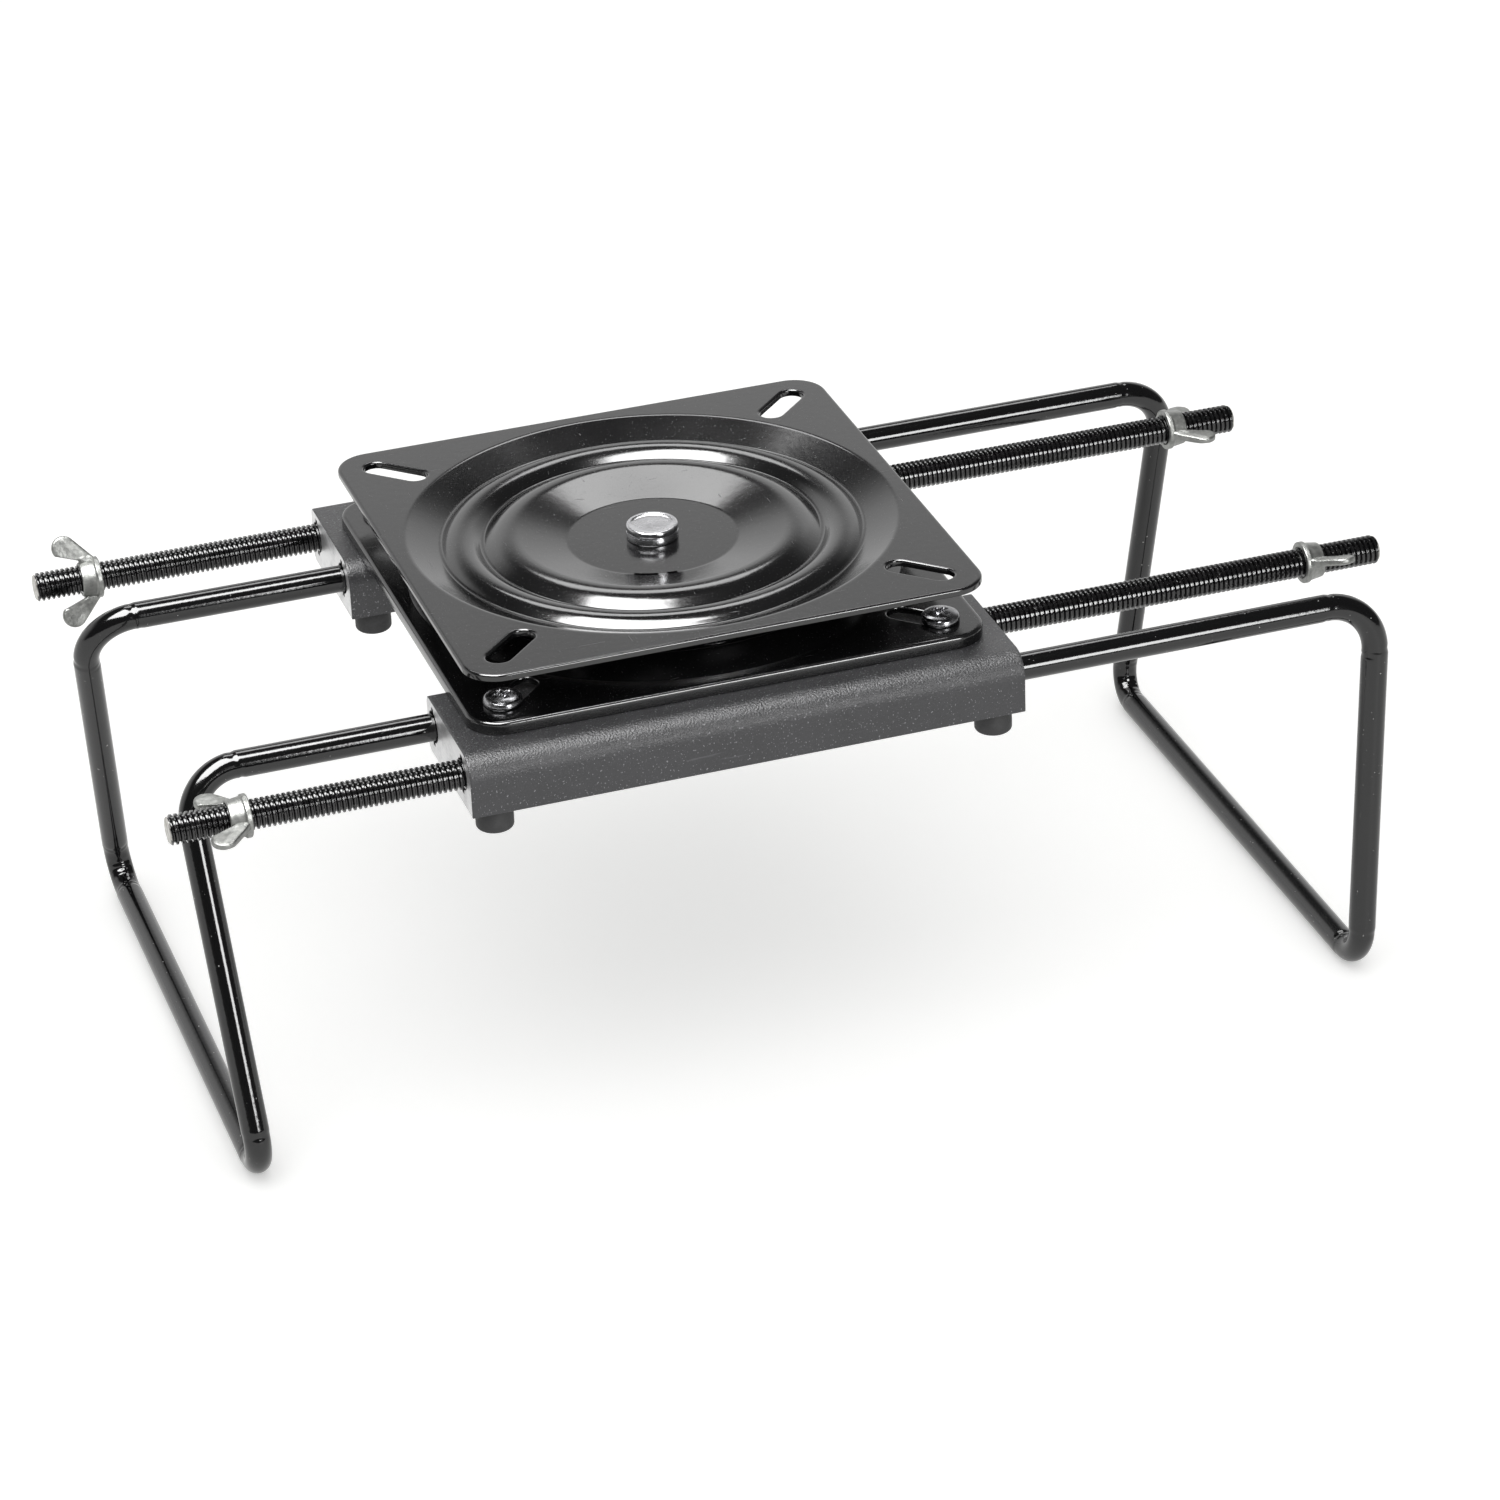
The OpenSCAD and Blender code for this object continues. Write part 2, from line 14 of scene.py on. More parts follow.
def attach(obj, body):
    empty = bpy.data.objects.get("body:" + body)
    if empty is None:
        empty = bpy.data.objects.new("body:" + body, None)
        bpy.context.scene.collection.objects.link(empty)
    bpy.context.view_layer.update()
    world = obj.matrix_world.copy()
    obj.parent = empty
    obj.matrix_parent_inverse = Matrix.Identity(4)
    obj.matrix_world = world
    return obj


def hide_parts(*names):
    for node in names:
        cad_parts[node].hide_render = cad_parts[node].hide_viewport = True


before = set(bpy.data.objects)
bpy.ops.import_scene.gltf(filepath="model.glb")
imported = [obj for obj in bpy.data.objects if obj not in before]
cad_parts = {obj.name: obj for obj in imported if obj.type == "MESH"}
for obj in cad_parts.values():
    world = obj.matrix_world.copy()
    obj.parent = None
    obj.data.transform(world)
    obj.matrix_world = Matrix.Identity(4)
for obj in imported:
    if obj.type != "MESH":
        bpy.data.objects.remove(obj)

LOG = logging.getLogger("seat_base")
MM = 0.001
CLOSE = 1e-6
ALONG, ACROSS, UP = np.eye(3)
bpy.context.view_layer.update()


class Slot(Enum):
    """The record's material slots that the dressed pieces use."""

    ENAMEL = "gloss_enamel"
    RAIL_COAT = "rail_coat"
    BLACK_BAR = "black_bar"
    ZINC = "zinc"
    BRIGHT = "bright_steel"
    RUBBER = "rubber"


class Side(Enum):
    """The end of the rails that a frame's legs or a nut are on; the value is its sign along X."""

    LEFT = -1
    RIGHT = 1


@dataclass(frozen=True)
class Layout:
    """Places that several sub-assemblies share, in mm, as in the CAD source."""

    swivel_x: float = -22.5
    channel_z: float = 136.15
    rail_bottom: float = 124.65
    lower_top: float = 149.65
    upper_top: float = 167.05
    inner_channel_y: float = 58.2
    outer_channel_y: float = 92.5
    rail_len: float = 190.0
    near_rail_face: float = -102.5
    far_rail_face: float = 48.2
    screw_x: float = 75.5
    screw_y: float = 75.35
    bumper_x: float = 86.0
    bumper_inset: float = 7.0


PLACES = Layout()


class Mould:
    """Gathers surfaces in mm and makes one merged mesh object in metres of them.

    Points nearer than merge_mm become one, and edges shorter than least_mm go.
    """

    merge_mm = 0.004
    least_mm = 0.0005
    flat_gap_mm = 1e-7

    def __init__(self) -> None:
        """Starts with no points and no faces."""
        self.points: list[np.ndarray] = []
        self.faces: list[np.ndarray] = []
        self.finishes: list[np.ndarray] = []
        self.count = 0

    def _add(self, points: np.ndarray, faces: list[np.ndarray],
             finish: int | np.ndarray) -> None:
        """Adds points and the faces between them.

        Args:
            points: any array of points, in mm.
            faces: blocks of faces, whose numbers count from the first new point.
            finish: number of the material, or one for each face.
        """
        self.points.append(points.reshape(-1, 3))
        for block in faces:
            self.faces.append(block + self.count)
            self.finishes.append(np.full(len(block), finish))
        self.count += self.points[-1].shape[0]

    def grid(self, points: np.ndarray, closed: bool = True, flip: bool = False,
             finish: int | np.ndarray = 0, keep: np.ndarray | None = None) -> None:
        """Adds a grid of quads; neighbours in the array are neighbours on the surface.

        Args:
            points: rows by columns by 3, in mm.
            closed: whether the last column joins the first one.
            flip: turns the faces over.
            finish: number of the material, or one for each quad.
            keep: rows-1 by columns array that is False where a quad is left out.
        """
        rows, columns = points.shape[:2]
        index = np.arange(rows * columns).reshape(rows, columns)
        if closed:
            index = np.hstack([index, index[:, :1]])
        quads = np.stack([index[:-1, :-1], index[1:, :-1], index[1:, 1:], index[:-1, 1:]], axis=-1)
        quads = quads.reshape(-1, 4) if keep is None else quads[keep]
        self._add(points, [quads[:, ::-1] if flip else quads], finish)

    def sheet(self, outlines: list[np.ndarray], lift: np.ndarray, across: np.ndarray,
              up: np.ndarray, flip: bool = False, finish: int = 0) -> None:
        """Fills the flat area between an outer outline and holes with triangles.

        Args:
            outlines: closed outlines of n by 2 points in mm, the outer one first.
            lift: the point in space where the outlines' origin lies.
            across: unit vector of the outlines' first axis.
            up: unit vector of the outlines' second axis.
            flip: turns the faces over.
            finish: number of the material.
        """
        flat = np.concatenate(outlines)
        edges, start = [], 0
        for outline in outlines:
            n = len(outline)
            edges += [(start + i, start + (i + 1) % n) for i in range(n)]
            start += n
        made = geometry.delaunay_2d_cdt([Vector(p) for p in flat.tolist()], edges, [], 1,
                                        self.flat_gap_mm)
        points = np.array([tuple(p) for p in made[0]])
        triangles = np.array([f for f in made[2] if len(f) == 3])
        middles = points[triangles].mean(axis=1)
        triangles = triangles[~np.any([within(middles, hole) for hole in outlines[1:]], axis=0)]
        space = lift + points[:, :1] * across + points[:, 1:] * up
        self._add(space, [triangles[:, ::-1] if flip else triangles], finish)

    def piece(self, name: str, materials: list[bpy.types.Material], body: str,
              nodes: tuple[str, ...], crease: float = 40.0) -> bpy.types.Object:
        """Makes the mesh object, merges its doubles and hands it to the frame.

        Args:
            name: name of the piece.
            materials: materials by their number.
            body: CAD body that the piece rides on.
            nodes: CAD nodes that the piece stands for.
            crease: edges sharper than this many degrees are shaded sharp.

        Returns:
            The finished object.
        """
        points = np.concatenate(self.points) * MM
        faces = [f for block in self.faces for f in block.tolist()]
        mesh = bpy.data.meshes.new(name)
        mesh.from_pydata(points, [], faces)
        for material in materials:
            mesh.materials.append(material)
        mesh.polygons.foreach_set("material_index", np.concatenate(self.finishes).astype(np.int32))
        work = bmesh.new()
        work.from_mesh(mesh)
        bmesh.ops.remove_doubles(work, verts=work.verts, dist=self.merge_mm * MM)
        bmesh.ops.dissolve_degenerate(work, edges=work.edges, dist=self.least_mm * MM)
        work.to_mesh(mesh)
        work.free()
        mesh.shade_smooth()
        mesh.set_sharp_from_angle(angle=math.radians(crease))
        mesh.update()
        made = bpy.data.objects.new(name, mesh)
        bpy.context.scene.collection.objects.link(made)
        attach(made, body)
        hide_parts(*nodes)
        LOG.info("%s: %d faces, stands for %s", name, len(mesh.polygons), ", ".join(nodes))
        return made


def arc(cx: float, cy: float, r: float, start: float, end: float, steps: int) -> np.ndarray:
    """Points of a circle's arc: the centre plus the radius times cosine and sine of the angle.

    Args:
        cx: centre's first coordinate.
        cy: centre's second coordinate.
        r: radius.
        start: first angle in degrees.
        end: last angle in degrees.
        steps: number of steps.

    Returns:
        steps + 1 points.
    """
    a = np.radians(np.linspace(start, end, steps + 1))
    return np.stack([cx + r * np.cos(a), cy + r * np.sin(a)], axis=-1)


def revolve(profile: np.ndarray, columns: int, centre: tuple[float, float, float]) -> np.ndarray:
    """Turns a profile about a vertical axis: radius times cosine and sine, and the height.

    Args:
        profile: n by 2 points, radius and height.
        columns: number of points around.
        centre: point of the axis where the height is zero.

    Returns:
        n by columns by 3 points.
    """
    a = np.linspace(0.0, 2.0 * np.pi, columns, endpoint=False)
    r, z = profile[:, :1], profile[:, 1:]
    ring = np.stack([r * np.cos(a), r * np.sin(a), z + 0.0 * a], axis=-1)
    return ring + np.array(centre)


def within(points: np.ndarray, outline: np.ndarray) -> np.ndarray:
    """Whether each point lies inside a closed outline: its ray crosses an odd number of sides.

    Args:
        points: k by 2 points.
        outline: n by 2 points.

    Returns:
        k values, True inside.
    """
    (x0, y0), (x1, y1) = outline.T, np.roll(outline, -1, axis=0).T
    x, y = points[:, :1], points[:, 1:]
    spans = (y0 > y) != (y1 > y)
    level = np.abs(y1 - y0) < CLOSE ** 2
    rise = np.where(level, CLOSE ** 2, y1 - y0)
    return np.sum(spans & (x < x0 + (y - y0) / rise * (x1 - x0)), axis=1) % 2 == 1


def at_height(outline: np.ndarray, z: float) -> np.ndarray:
    """The outline's points in space at height z."""
    return np.column_stack([outline, np.full(len(outline), z)])


def at_x(outline: np.ndarray, x: float) -> np.ndarray:
    """The outline's points in space, across and up, at the distance x along the rails."""
    return np.column_stack([np.full(len(outline), x), outline])


def smooth(value: np.ndarray, low: float, high: float) -> np.ndarray:
    """Eases from 0 at low to 1 at high: 3 t squared minus 2 t cubed, with t held to 0..1."""
    t = np.clip((value - low) / (high - low), 0.0, 1.0)
    return t * t * (3.0 - 2.0 * t)


def hump(value: np.ndarray, middle: float | np.ndarray, width: float) -> np.ndarray:
    """Bell curve of height 1 about middle: e to the minus squared distance over squared width."""
    return np.exp(-(((value - middle) / width) ** 2))


def linear(hex_colour: str) -> tuple[float, float, float, float]:
    """Turns an sRGB hex colour into linear values by the sRGB transfer curve.

    Args:
        hex_colour: colour written as "#rrggbb".

    Returns:
        The linear red, green and blue, and an alpha of 1.
    """
    c = np.array([int(hex_colour[i:i + 2], 16) for i in (1, 3, 5)]) / 255.0
    values = np.where(c <= 0.04045, c / 12.92, ((c + 0.055) / 1.055) ** 2.4)
    return (*values.tolist(), 1.0)


def add_node(tree: bpy.types.NodeTree, kind: str, settings: dict | None = None,
             inputs: dict | None = None) -> bpy.types.Node:
    """Adds a node with its settings, and sets or links its inputs.

    Args:
        tree: node tree that gets the node.
        kind: Blender's name for the kind of node.
        settings: attributes of the node, by name.
        inputs: values or output sockets, by the input's name or number.

    Returns:
        The new node.
    """
    node = tree.nodes.new(kind)
    for name, value in (settings or {}).items():
        setattr(node, name, value)
    for name, value in (inputs or {}).items():
        if isinstance(value, bpy.types.NodeSocket):
            tree.links.new(value, node.inputs[name])
        else:
            node.inputs[name].default_value = value
    return node


@dataclass(frozen=True)
class Pattern:
    """Noise of a real size: stretched, turned, and cut to the band of values that shows."""

    size_mm: float
    low: float = 0.0
    high: float = 1.0
    detail: float = 2.0
    stretch: tuple[float, float, float] = (1.0, 1.0, 1.0)
    turn: tuple[float, float, float] = (0.0, 0.0, 0.0)
    shift: tuple[float, float, float] = (0.0, 0.0, 0.0)
    rough: float = 0.55

    def lay(self, tree: bpy.types.NodeTree, coords: bpy.types.NodeSocket) -> bpy.types.NodeSocket:
        """Lays the pattern on the piece.

        Args:
            tree: the material's tree.
            coords: object coordinates in metres.

        Returns:
            The pattern's value, 0 to 1.
        """
        placed = add_node(tree, "ShaderNodeMapping", None, {
            "Vector": coords, "Rotation": tuple(math.radians(a) for a in self.turn),
            "Location": self.shift, "Scale": self.stretch})
        noise = add_node(tree, "ShaderNodeTexNoise", None, {
            "Vector": placed.outputs[0], "Scale": 1.0 / (self.size_mm * MM), "Detail": self.detail,
            "Roughness": self.rough})
        band = add_node(tree, "ShaderNodeMapRange", None, {
            "Value": noise.outputs[0], "From Min": self.low, "From Max": self.high})
        return band.outputs[0]


class Finish:
    """A material under construction: its tree, surface shader and object coordinates."""

    def __init__(self, name: str, **sockets: object) -> None:
        """Makes the material and sets the shader's constant sockets.

        Args:
            name: the material's name.
            **sockets: values of the shader's inputs, with underscores for spaces.
        """
        self.material = bpy.data.materials.new(name)
        self.material.use_nodes = True
        self.tree = self.material.node_tree
        self.tree.nodes.clear()
        self.surface = add_node(self.tree, "ShaderNodeBsdfPrincipled", None,
                                {k.replace("_", " "): v for k, v in sockets.items()})
        add_node(self.tree, "ShaderNodeOutputMaterial", None, {"Surface": self.surface.outputs[0]})
        self.coords = add_node(self.tree, "ShaderNodeTexCoord").outputs["Object"]

    def lay(self, pattern: Pattern) -> bpy.types.NodeSocket:
        """Lays a pattern in this material's object coordinates."""
        return pattern.lay(self.tree, self.coords)

    def colour(self, base: str, *layers: tuple[bpy.types.NodeSocket, str]) -> None:
        """Colours the surface with a base and layers over it.

        Args:
            base: hex colour of the base.
            *layers: for each layer, the value that lays it on and its hex colour.
        """
        value: object = linear(base)
        for amount, tint in layers:
            mixed = add_node(self.tree, "ShaderNodeMix", {"data_type": "RGBA"},
                             {0: amount, 6: value, 7: linear(tint)})
            value = mixed.outputs[2]
        self._give("Base Color", value)

    def shine(self, base: float, *layers: tuple[bpy.types.NodeSocket, float]) -> None:
        """Sets the roughness: a base plus each layer's value times its amount.

        Args:
            base: roughness where no layer shows.
            *layers: for each layer, its value and the roughness it adds.
        """
        value: object = base
        for amount, added in layers:
            total = add_node(self.tree, "ShaderNodeMath", {"operation": "MULTIPLY_ADD"},
                             {0: amount, 1: added, 2: value})
            value = total.outputs[0]
        self._give("Roughness", value)

    def relief(self, *layers: tuple[bpy.types.NodeSocket, float]) -> None:
        """Gives the surface its small relief.

        Args:
            *layers: for each layer, its height value and its depth in mm.
        """
        normal: object = None
        for height, depth_mm in layers:
            inputs = {"Height": height, "Distance": depth_mm * MM, "Strength": 1.0}
            if normal is not None:
                inputs["Normal"] = normal
            normal = add_node(self.tree, "ShaderNodeBump", None, inputs).outputs[0]
        self._give("Normal", normal)

    def _give(self, socket: str, value: object) -> None:
        """Links or sets one input of the surface shader."""
        if isinstance(value, bpy.types.NodeSocket):
            self.tree.links.new(value, self.surface.inputs[socket])
        elif value is not None:
            self.surface.inputs[socket].default_value = value


@dataclass(frozen=True)
class GlossEnamel:
    """Black stoving enamel, dipped and baked on pressed steel.

    It gives a wet black shine with a slight orange peel, hairline scratches and settled dust.
    """

    name: str = "black_stoving_enamel"
    black: str = "#0c0c0d"

    def make(self) -> bpy.types.Material:
        """Makes the material.

        Returns:
            The finished material.
        """
        f = Finish(self.name, IOR=1.66)
        peel = f.lay(Pattern(2.4, 0.3, 0.7, 1.0))
        dust = f.lay(Pattern(0.5, 0.66, 0.78, 2.0))
        along = f.lay(Pattern(0.9, 0.745, 0.79, 1.0, (0.05, 1.0, 1.0), (0, 0, 24)))
        across = f.lay(Pattern(1.0, 0.75, 0.79, 1.0, (1.0, 0.06, 1.0), (0, 0, -17),
                               (0.03, 0.01, 0)))
        cloud = f.lay(Pattern(38.0, 0.35, 0.7, 3.0))
        f.colour(self.black, (cloud, "#121213"), (dust, "#3a3a3b"), (along, "#2a2a2b"),
                 (across, "#29292a"))
        f.shine(0.13, (cloud, 0.05), (dust, 0.25), (along, 0.15), (across, 0.15))
        f.relief((peel, 0.006), (dust, 0.01))
        return f.material


@dataclass(frozen=True)
class TexturedRailCoat:
    """Dark grey textured powder coat on extruded aluminium: a fine sandy grain, a soft sheen."""

    name: str = "textured_powder_coat"
    grey: str = "#313133"

    def make(self) -> bpy.types.Material:
        """Makes the material; the grain is drawn at 0.7 mm, a little coarse, so that it shows.

        Returns:
            The finished material.
        """
        f = Finish(self.name, IOR=1.5)
        grain = f.lay(Pattern(0.7, 0.25, 0.75, 3.0))
        speck = f.lay(Pattern(0.7, 0.66, 0.72, 1.0, shift=(0.01, 0.02, 0.03)))
        cloud = f.lay(Pattern(16.0, 0.35, 0.7, 4.0))
        scuff = f.lay(Pattern(1.6, 0.7, 0.78, 2.0, (0.08, 1.0, 1.0), (0, 9, 6)))
        f.colour(self.grey, (cloud, "#3b3b3e"), (grain, "#363638"), (speck, "#8a8a8d"),
                 (scuff, "#505053"))
        f.shine(0.34, (cloud, 0.1), (speck, 0.1))
        f.relief((grain, 0.12), (speck, 0.06))
        return f.material


@dataclass(frozen=True)
class SawnAluminium:
    """Extruded aluminium sawn to length: satin silver with fine saw lines and a few stains."""

    name: str = "sawn_aluminium"
    silver: str = "#c9c9ca"

    def make(self) -> bpy.types.Material:
        """Makes the material; the saw lines stand 0.5 mm apart up the face.

        Returns:
            The finished material.
        """
        f = Finish(self.name, Metallic=1.0)
        lines = f.lay(Pattern(0.5, 0.3, 0.7, 2.0, (1.0, 0.12, 1.0), (12, 0, 0)))
        stain = f.lay(Pattern(7.0, 0.45, 0.75, 4.0))
        f.colour(self.silver, (stain, "#98999b"), (lines, "#d6d6d6"))
        f.shine(0.34, (stain, 0.16), (lines, 0.06))
        f.relief((lines, 0.03))
        return f.material


@dataclass(frozen=True)
class CoatedBar:
    """Cold-drawn steel bar with a gloss black coat: near-black shine, white specks and rubs."""

    name: str = "black_coated_bar"
    black: str = "#0a0a0b"

    def make(self) -> bpy.types.Material:
        """Makes the material.

        Returns:
            The finished material.
        """
        f = Finish(self.name, IOR=1.55)
        peel = f.lay(Pattern(1.6, 0.3, 0.7, 1.0))
        speck = f.lay(Pattern(1.0, 0.765, 0.8, 1.0))
        rub = f.lay(Pattern(9.0, 0.66, 0.82, 5.0, (0.5, 1.0, 1.0)))
        f.colour(self.black, (rub, "#1d1d1e"), (speck, "#b2b2b0"))
        f.shine(0.11, (rub, 0.14), (speck, 0.25))
        f.relief((peel, 0.008), (speck, 0.03))
        return f.material


@dataclass(frozen=True)
class CoatedThread:
    """Rolled thread under the same black coat, with rubbed patches and specks laid at random."""

    name: str = "black_rolled_thread"
    black: str = "#0b0b0c"

    def make(self) -> bpy.types.Material:
        """Makes the material.

        Returns:
            The finished material.
        """
        f = Finish(self.name, IOR=1.6)
        rub = f.lay(Pattern(3.0, 0.5, 0.8, 4.0))
        speck = f.lay(Pattern(0.9, 0.7, 0.76, 1.0))
        f.colour(self.black, (rub, "#1c1c1d"), (speck, "#767674"))
        f.shine(0.14, (rub, 0.1), (speck, 0.2))
        f.relief((rub, 0.02))
        return f.material


@dataclass(frozen=True)
class CutSteel:
    """Bar end cut after coating: pale bare steel with a dull turned face."""

    name: str = "cut_steel_end"
    pale: str = "#b9b8b4"

    def make(self) -> bpy.types.Material:
        """Makes the material.

        Returns:
            The finished material.
        """
        f = Finish(self.name, Metallic=1.0)
        stain = f.lay(Pattern(2.2, 0.4, 0.75, 4.0))
        f.colour(self.pale, (stain, "#85827c"))
        f.shine(0.42, (stain, 0.15))
        f.relief((stain, 0.05))
        return f.material


@dataclass(frozen=True)
class SatinZinc:
    """Zinc-plated casting: pale satin grey with a soft cast skin and darker bloom patches at
    random.
    """

    name: str = "satin_zinc_plate"
    pale: str = "#7f807e"

    def make(self) -> bpy.types.Material:
        """Makes the material.

        Returns:
            The finished material.
        """
        f = Finish(self.name, Metallic=0.9)
        skin = f.lay(Pattern(1.5, 0.3, 0.7, 3.0))
        bloom = f.lay(Pattern(5.0, 0.42, 0.72, 4.0))
        f.colour(self.pale, (bloom, "#656664"), (skin, "#90918e"))
        f.shine(0.36, (bloom, 0.12), (skin, 0.05))
        f.relief((skin, 0.05), (bloom, 0.04))
        return f.material


@dataclass(frozen=True)
class BrightSteel:
    """Turned and bright-plated steel: a clear mirror with faint turning marks and haze."""

    name: str = "bright_plated_steel"
    bright: str = "#bcbcbe"

    def make(self) -> bpy.types.Material:
        """Makes the material.

        Returns:
            The finished material.
        """
        f = Finish(self.name, Metallic=1.0)
        haze = f.lay(Pattern(4.0, 0.45, 0.75, 4.0))
        mark = f.lay(Pattern(0.8, 0.3, 0.7, 2.0))
        f.colour(self.bright, (haze, "#b4b4b6"))
        f.shine(0.2, (haze, 0.14))
        f.relief((mark, 0.008))
        return f.material


@dataclass(frozen=True)
class PressedSteel:
    """Plain pressed steel with its rolling lines and a thin film of grease."""

    name: str = "plain_pressed_steel"
    grey: str = "#9c9c9d"

    def make(self) -> bpy.types.Material:
        """Makes the material.

        Returns:
            The finished material.
        """
        f = Finish(self.name, Metallic=1.0)
        lines = f.lay(Pattern(0.6, 0.3, 0.7, 2.0, (0.05, 1.0, 1.0)))
        grease = f.lay(Pattern(6.0, 0.45, 0.7, 3.0))
        f.colour(self.grey, (grease, "#6e665a"), (lines, "#a9a9aa"))
        f.shine(0.3, (grease, 0.2))
        f.relief((lines, 0.02))
        return f.material


@dataclass(frozen=True)
class MouldedRubber:
    """Moulded black rubber: matt, a little dusty, with a fine mould texture."""

    name: str = "moulded_rubber"
    black: str = "#242425"

    def make(self) -> bpy.types.Material:
        """Makes the material.

        Returns:
            The finished material.
        """
        f = Finish(self.name, IOR=1.52)
        skin = f.lay(Pattern(0.8, 0.3, 0.7, 2.0))
        dust = f.lay(Pattern(3.5, 0.5, 0.75, 4.0))
        f.colour(self.black, (dust, "#39393a"))
        f.shine(0.62, (dust, 0.2))
        f.relief((skin, 0.06))
        return f.material


@dataclass
class Finishes:
    """Every finish of the seat base, made once and shared."""

    enamel: bpy.types.Material = field(default_factory=lambda: GlossEnamel().make())
    rail_coat: bpy.types.Material = field(default_factory=lambda: TexturedRailCoat().make())
    sawn: bpy.types.Material = field(default_factory=lambda: SawnAluminium().make())
    bar: bpy.types.Material = field(default_factory=lambda: CoatedBar().make())
    thread: bpy.types.Material = field(default_factory=lambda: CoatedThread().make())
    cut_end: bpy.types.Material = field(default_factory=lambda: CutSteel().make())
    zinc: bpy.types.Material = field(default_factory=lambda: SatinZinc().make())
    bright: bpy.types.Material = field(default_factory=lambda: BrightSteel().make())
    screw: bpy.types.Material = field(
        default_factory=lambda: BrightSteel("oiled_plated_steel", "#808082").make())
    plain: bpy.types.Material = field(default_factory=lambda: PressedSteel().make())
    rubber: bpy.types.Material = field(default_factory=lambda: MouldedRubber().make())


@dataclass
class PressedPlate:
    """One of the two square pressed plates, in mm, about its own centre with its top at z = 0.

    The rings are given by radius and height of the top face where it is level.
    """

    name: str
    body: str
    node: str
    top_z: float
    over: bool = False
    width: float = 178.0
    sheet_t: float = 2.5
    corner_r: float = 12.0
    corner_steps: int = 14
    press_r: float = 84.0
    press_margin: float = 0.6
    outer_valley: tuple[float, float] = (72.0, -5.0)
    race: tuple[float, float] = (65.0, -2.0)
    inner_valley: tuple[float, float] = (57.5, -5.4)
    inner_ridge: tuple[float, float] = (48.0, -1.7)
    disc: tuple[float, float] = (29.0, -6.2)
    valley_r: float = 1.6
    ridge_fillet: float = 11.0
    race_fillet: float = 7.95
    shoulder_fillet: float = 3.2
    hole_r: float = 5.05
    hole_edge: float = 0.35
    slot_offset: float = 70.5
    slot_len: float = 24.0
    slot_w: float = 8.5
    slot_steps: int = 16
    slot_turns: tuple[float, ...] = (45.0, 135.0, 225.0, 315.0)
    edge: float = 0.9
    lower_edge: float = 0.35
    support: float = 0.35
    slits: tuple[tuple[float, float], ...] = ()
    slit_inner: float = 28.15
    slit_outer: float = 29.85
    slit_rows: int = 5
    slit_clear: float = 0.02
    columns: int = 192
    least_step: float = 0.9

    def angles(self) -> np.ndarray:
        """Gives the columns' angles, with the slits' ends among them.

        Returns:
            Rising angles in radians. An even one too near a slit's end is left out.
        """
        even = np.linspace(0.0, 360.0, self.columns, endpoint=False)
        ends = np.array([e for s in self.slits for e in s])
        if len(ends):
            apart = np.min(np.abs(even[:, None] - ends[None, :]), axis=1)
            even = even[apart > self.least_step]
        return np.radians(np.sort(np.concatenate([even, ends])))

    def flank(self, p: tuple[float, ...], q: tuple[float, ...]) -> np.ndarray:
        """One flank of the pressing: two arcs, level at the stations, that share a tangent.

        Args:
            p: outer station's radius, height, fillet, and 1 on a ridge or -1 in a valley.
            q: inner station, in the same way.

        Returns:
            n by 2 points, radius and height.
        """
        (p_r, p_z, p_fillet, p_sign), (q_r, q_z, q_fillet, q_sign) = p, q
        w, h, radii = p_r - q_r, abs(q_z - p_z), p_fillet + q_fillet
        a = math.degrees(math.atan2(w, radii - h) - math.acos(radii / math.hypot(radii - h, w)))
        steps = max(4, math.ceil(a / 6))
        return np.concatenate([
            arc(p_r, p_z - p_sign * p_fillet, p_fillet, p_sign * 90, p_sign * (90 + a), steps),
            arc(q_r, q_z - q_sign * q_fillet, q_fillet, q_sign * (90 - a), q_sign * 90, steps),
        ])

    def face(self, shift: float) -> np.ndarray:
        """Gives the profile of the pressing's top face or underside.

        Args:
            shift: 0 for the top face, or the sheet's thickness for the underside.

        Returns:
            n by 2 points, radius and height, from the rim in.
        """
        rings = ((self.press_r, 0.0), self.outer_valley, self.race, self.inner_valley,
                 self.inner_ridge, self.disc)
        fillets = (self.shoulder_fillet, self.valley_r, self.race_fillet, self.valley_r,
                   self.ridge_fillet, self.valley_r)
        stations = [(r, z - shift, fillet - sign * shift, sign)
                    for (r, z), fillet, sign in zip(rings, fillets, (1, -1, 1, -1, 1, -1))]
        parts = [self.flank(p, q) for p, q in zip(stations[:-1], stations[1:])]
        profile = np.concatenate([[[self.press_r + self.press_margin, -shift]], *parts])
        if not self.slits:
            return profile
        wanted = np.linspace(self.slit_outer, self.slit_inner, self.slit_rows)
        height = np.interp(wanted, [0.0, *profile[::-1, 0]],
                           [self.disc[1] - shift, *profile[::-1, 1]])
        outside = profile[profile[:, 0] > self.slit_outer + self.slit_clear]
        return np.concatenate([outside, np.stack([wanted, height], axis=-1)])

    def outline(self, inset: float) -> np.ndarray:
        """Gives the square outline with rounded corners.

        Args:
            inset: how far it is moved in.

        Returns:
            n by 2 points, anticlockwise.
        """
        half, r = self.width / 2 - self.corner_r, self.corner_r - inset
        corners = [(half, half, 0), (-half, half, 90), (-half, -half, 180), (half, -half, 270)]
        return np.concatenate([arc(x, y, r, a, a + 90, self.corner_steps) for x, y, a in corners])

